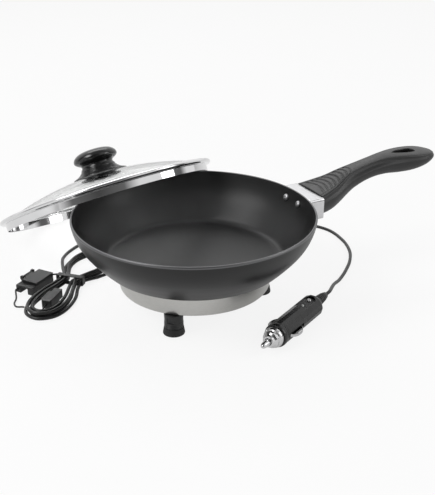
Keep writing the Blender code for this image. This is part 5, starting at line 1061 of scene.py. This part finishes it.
collar = spun("plug_collar_ring", filleted((
    (COLLAR_BORE, 0.0923), (COLLAR_R * 0.983, 0.0923), (COLLAR_R, 0.0940), (COLLAR_R, 0.0962),
    (COLLAR_R * 0.966, 0.0980), (COLLAR_BORE, 0.0980)), 0.0006, 4), 64, [PLUG_PLASTIC], plug_at)
set_down(collar, "plug_collar")
NOSE_R = 0.0100
NOSE_FROM = 0.0983
NOSE_LENGTH = 0.0122
nose_steps = np.array(((0.98, 0.0), (1.0, 0.06), (1.0, 0.221), (0.94, 0.385), (0.80, 0.434),
                       (0.82, 0.648), (0.62, 0.795), (0.56, 1.0)))
nose_outline = nose_steps * (NOSE_R, NOSE_LENGTH) + (0.0, NOSE_FROM)
nose = spun("plug_nose", filleted(np.vstack([
    nose_outline, ((0.0035, 0.1105), (0.0035, 0.1092), (0.0056, 0.1092), (0.0056, NOSE_FROM))]),
    0.0005, 4), 72, [PLATED], plug_at)
set_down(nose, "plug_nose_ring")
tip_line = np.vstack([
    ((0.0, 0.1004), (0.0046, 0.1004), (0.0050, 0.1008), (0.0050, 0.1016), (0.0046, 0.1020),
     (0.0030, 0.1022), (0.0030, 0.1170)),
    smooth_curve(((0.0029, 0.1175), (0.0026, 0.1187), (0.0020, 0.1199), (0.0012, 0.1208),
                  (0.0003, 0.1212)), 14),
    ((0.0, 0.1212),)])
tip = spun("plug_tip_pin", tip_line, 48, [PLATED], plug_at)
set_down(tip, "plug_tip", "tip")

# Screw and pilot lamp in the plug's sunk panel.
keeps(SCREW_STEEL, "plug_screw")
keeps(speckled("lamp_lens", (0.60, 0.62, 0.60), (0.76, 0.78, 0.76),
               500.0, 2.0, 0.10, 0.06, 0.00002, 0.3), "plug_lamp")

# Inner parts: bracket, screws, cover, heating disc, fibre board and ceramic terminal block,
# which show only from below or when the cooker is opened.
PLATE_STEEL = wiped_metal("plated_sheet", (0.34, 0.34, 0.345), (0.50, 0.50, 0.505), 0.30)
keeps(PLATE_STEEL, "handle_bracket", "base_cover", "clamp_plate", "centre_spacer", "thermostat")
keeps(SCREW_STEEL, "handle_screw", "centre_screw", "terminal_screw_a", "terminal_screw_b",
      "foot_screw_a", "foot_screw_b", "foot_screw_c")
f = Finish("fibre_board")
felt = f.noise(1400.0, 4.0)
cloud = f.noise(60.0, 3.0)
f.surface(Base_Color=f.mix(felt * 0.6 + cloud * 0.4, (0.44, 0.40, 0.31), (0.66, 0.61, 0.50)),
          Roughness=felt * 0.10 + 0.82, Normal=f.bump(felt, 0.00015, 0.7))
keeps(f.material, "insulation_board")
keeps(speckled("glazed_ceramic", (0.74, 0.71, 0.63), (0.82, 0.80, 0.74),
               220.0, 3.0, 0.16, 0.10, 0.00004, 0.4), "terminal_block")
f = Finish("heater_sheath")
scale = f.noise(500.0, 4.0)
tint = f.noise(40.0, 3.0)
f.surface(Base_Color=f.mix(scale * 0.5 + tint * 0.5, (0.16, 0.13, 0.11), (0.34, 0.30, 0.26)),
          Metallic=0.9, Roughness=scale * 0.20 + 0.38, Normal=f.bump(scale, 0.00004, 0.5))
keeps(f.material, "heating_element")
keeps(speckled("glass_sleeving", (0.56, 0.55, 0.50), (0.72, 0.71, 0.66),
               2600.0, 2.0, 0.70, 0.10, 0.00008, 0.6),
      "element_lead_a", "element_lead_b", "thermostat_lead")


# Floor and light: a pale table in a white room, a large soft light over the left shoulder,
# a long one on the right, and a darker room behind the camera for the metal to mirror.
f = Finish("pale_floor")
soft = f.noise(9.0, 2.0)
diffuse = f.node("BsdfDiffuse", None, Color=f.mix(soft, (0.90, 0.90, 0.90), (0.93, 0.93, 0.93)))
white = f.node("Emission", None, Color=(1.0, 1.0, 1.0), Strength=1.0)
rays = f.tree.nodes.new("ShaderNodeLightPath")
seen = Socket(f, rays.outputs["Is Camera Ray"])
mirrored = Socket(f, rays.outputs["Is Glossy Ray"])
through = Socket(f, rays.outputs["Is Transmission Ray"])
share = seen * 0.86 + mirrored * 0.30 + through * 0.86
f.plug(f.output.inputs[0], f.node("MixShader", None, share, diffuse, white))
FLOOR_REACH = 6.0
corners = np.array(((-1, -1), (1, -1), (1, 1), (-1, 1))) * FLOOR_REACH
floor_mesh = bpy.data.meshes.new("floor")
floor_mesh.from_pydata(np.c_[corners, np.full(4, STAND - 0.0001)].tolist(), [], [(0, 1, 2, 3)])
floor = bpy.data.objects.new("floor", floor_mesh)
floor_mesh.materials.append(f.material)
bpy.context.scene.collection.objects.link(floor)

world = bpy.data.worlds.new("room")
bpy.context.scene.world = world
world.use_nodes = True
world.node_tree.nodes.clear()


class Room(Finish):
    """The same node helpers on the world's tree."""

    def __init__(self, tree):
        self.tree = tree
        self.output = tree.nodes.new("ShaderNodeOutputWorld")


room = Room(world.node_tree)
way_x, way_y, way_z = room.axes(room.node("TexCoord", out="Generated"))
bearing = room.node("Math", {"operation": "ARCTAN2"}, way_y, way_x) / (2.0 * pi) + 0.5
flags = room.node("ValToRGB", {"stops": (
    (0.0, 0.75), (0.05, 0.85), (0.09, 0.16), (0.17, 0.07), (0.25, 0.16), (0.30, 0.90),
    (0.40, 0.95), (0.43, 0.14), (0.455, 0.14), (0.48, 0.92), (0.60, 1.0), (0.80, 1.0),
    (0.875, 0.95), (0.90, 0.12), (0.925, 0.12), (0.95, 0.92), (1.0, 0.75),
)}, Fac=bearing)
walls = room.mix(way_z.between(0.80, 0.97), flags, (0.42, 0.42, 0.42))
paths = room.tree.nodes.new("ShaderNodeLightPath")
seen = Socket(room, paths.outputs["Is Camera Ray"])
through = Socket(room, paths.outputs["Is Transmission Ray"])
mirrored = Socket(room, paths.outputs["Is Glossy Ray"])
shade = room.mix(mirrored, (0.46, 0.46, 0.46), walls)
shade = room.mix(seen + through, shade, (1.0, 1.0, 1.0))
room.plug(room.output.inputs[0], room.node("Background", None, Color=shade, Strength=1.0))


def soft_light(name, place, aim, width, height, power):
    """A rectangular light pointed at a place."""
    lamp = bpy.data.lights.new(name, "AREA")
    lamp.shape = "RECTANGLE"
    lamp.size = width
    lamp.size_y = height
    lamp.energy = power
    ob = bpy.data.objects.new(name, lamp)
    bpy.context.scene.collection.objects.link(ob)
    ob.location = place
    ob.rotation_mode = "QUATERNION"
    ob.rotation_quaternion = (Vector(aim) - Vector(place)).to_track_quat("-Z", "Y")
    return ob


middle = (0.05, 0.04, 0.0)
soft_light("key", (-1.10, 0.10, 1.15), middle, 0.8, 0.6, 10.0)
soft_light("side", (1.25, -0.80, 0.75), middle, 0.5, 1.0, 5.0)
soft_light("back", (0.35, 1.30, 1.20), middle, 1.4, 0.4, 5.0)

scene = bpy.context.scene
scene.view_settings.view_transform = "Standard"
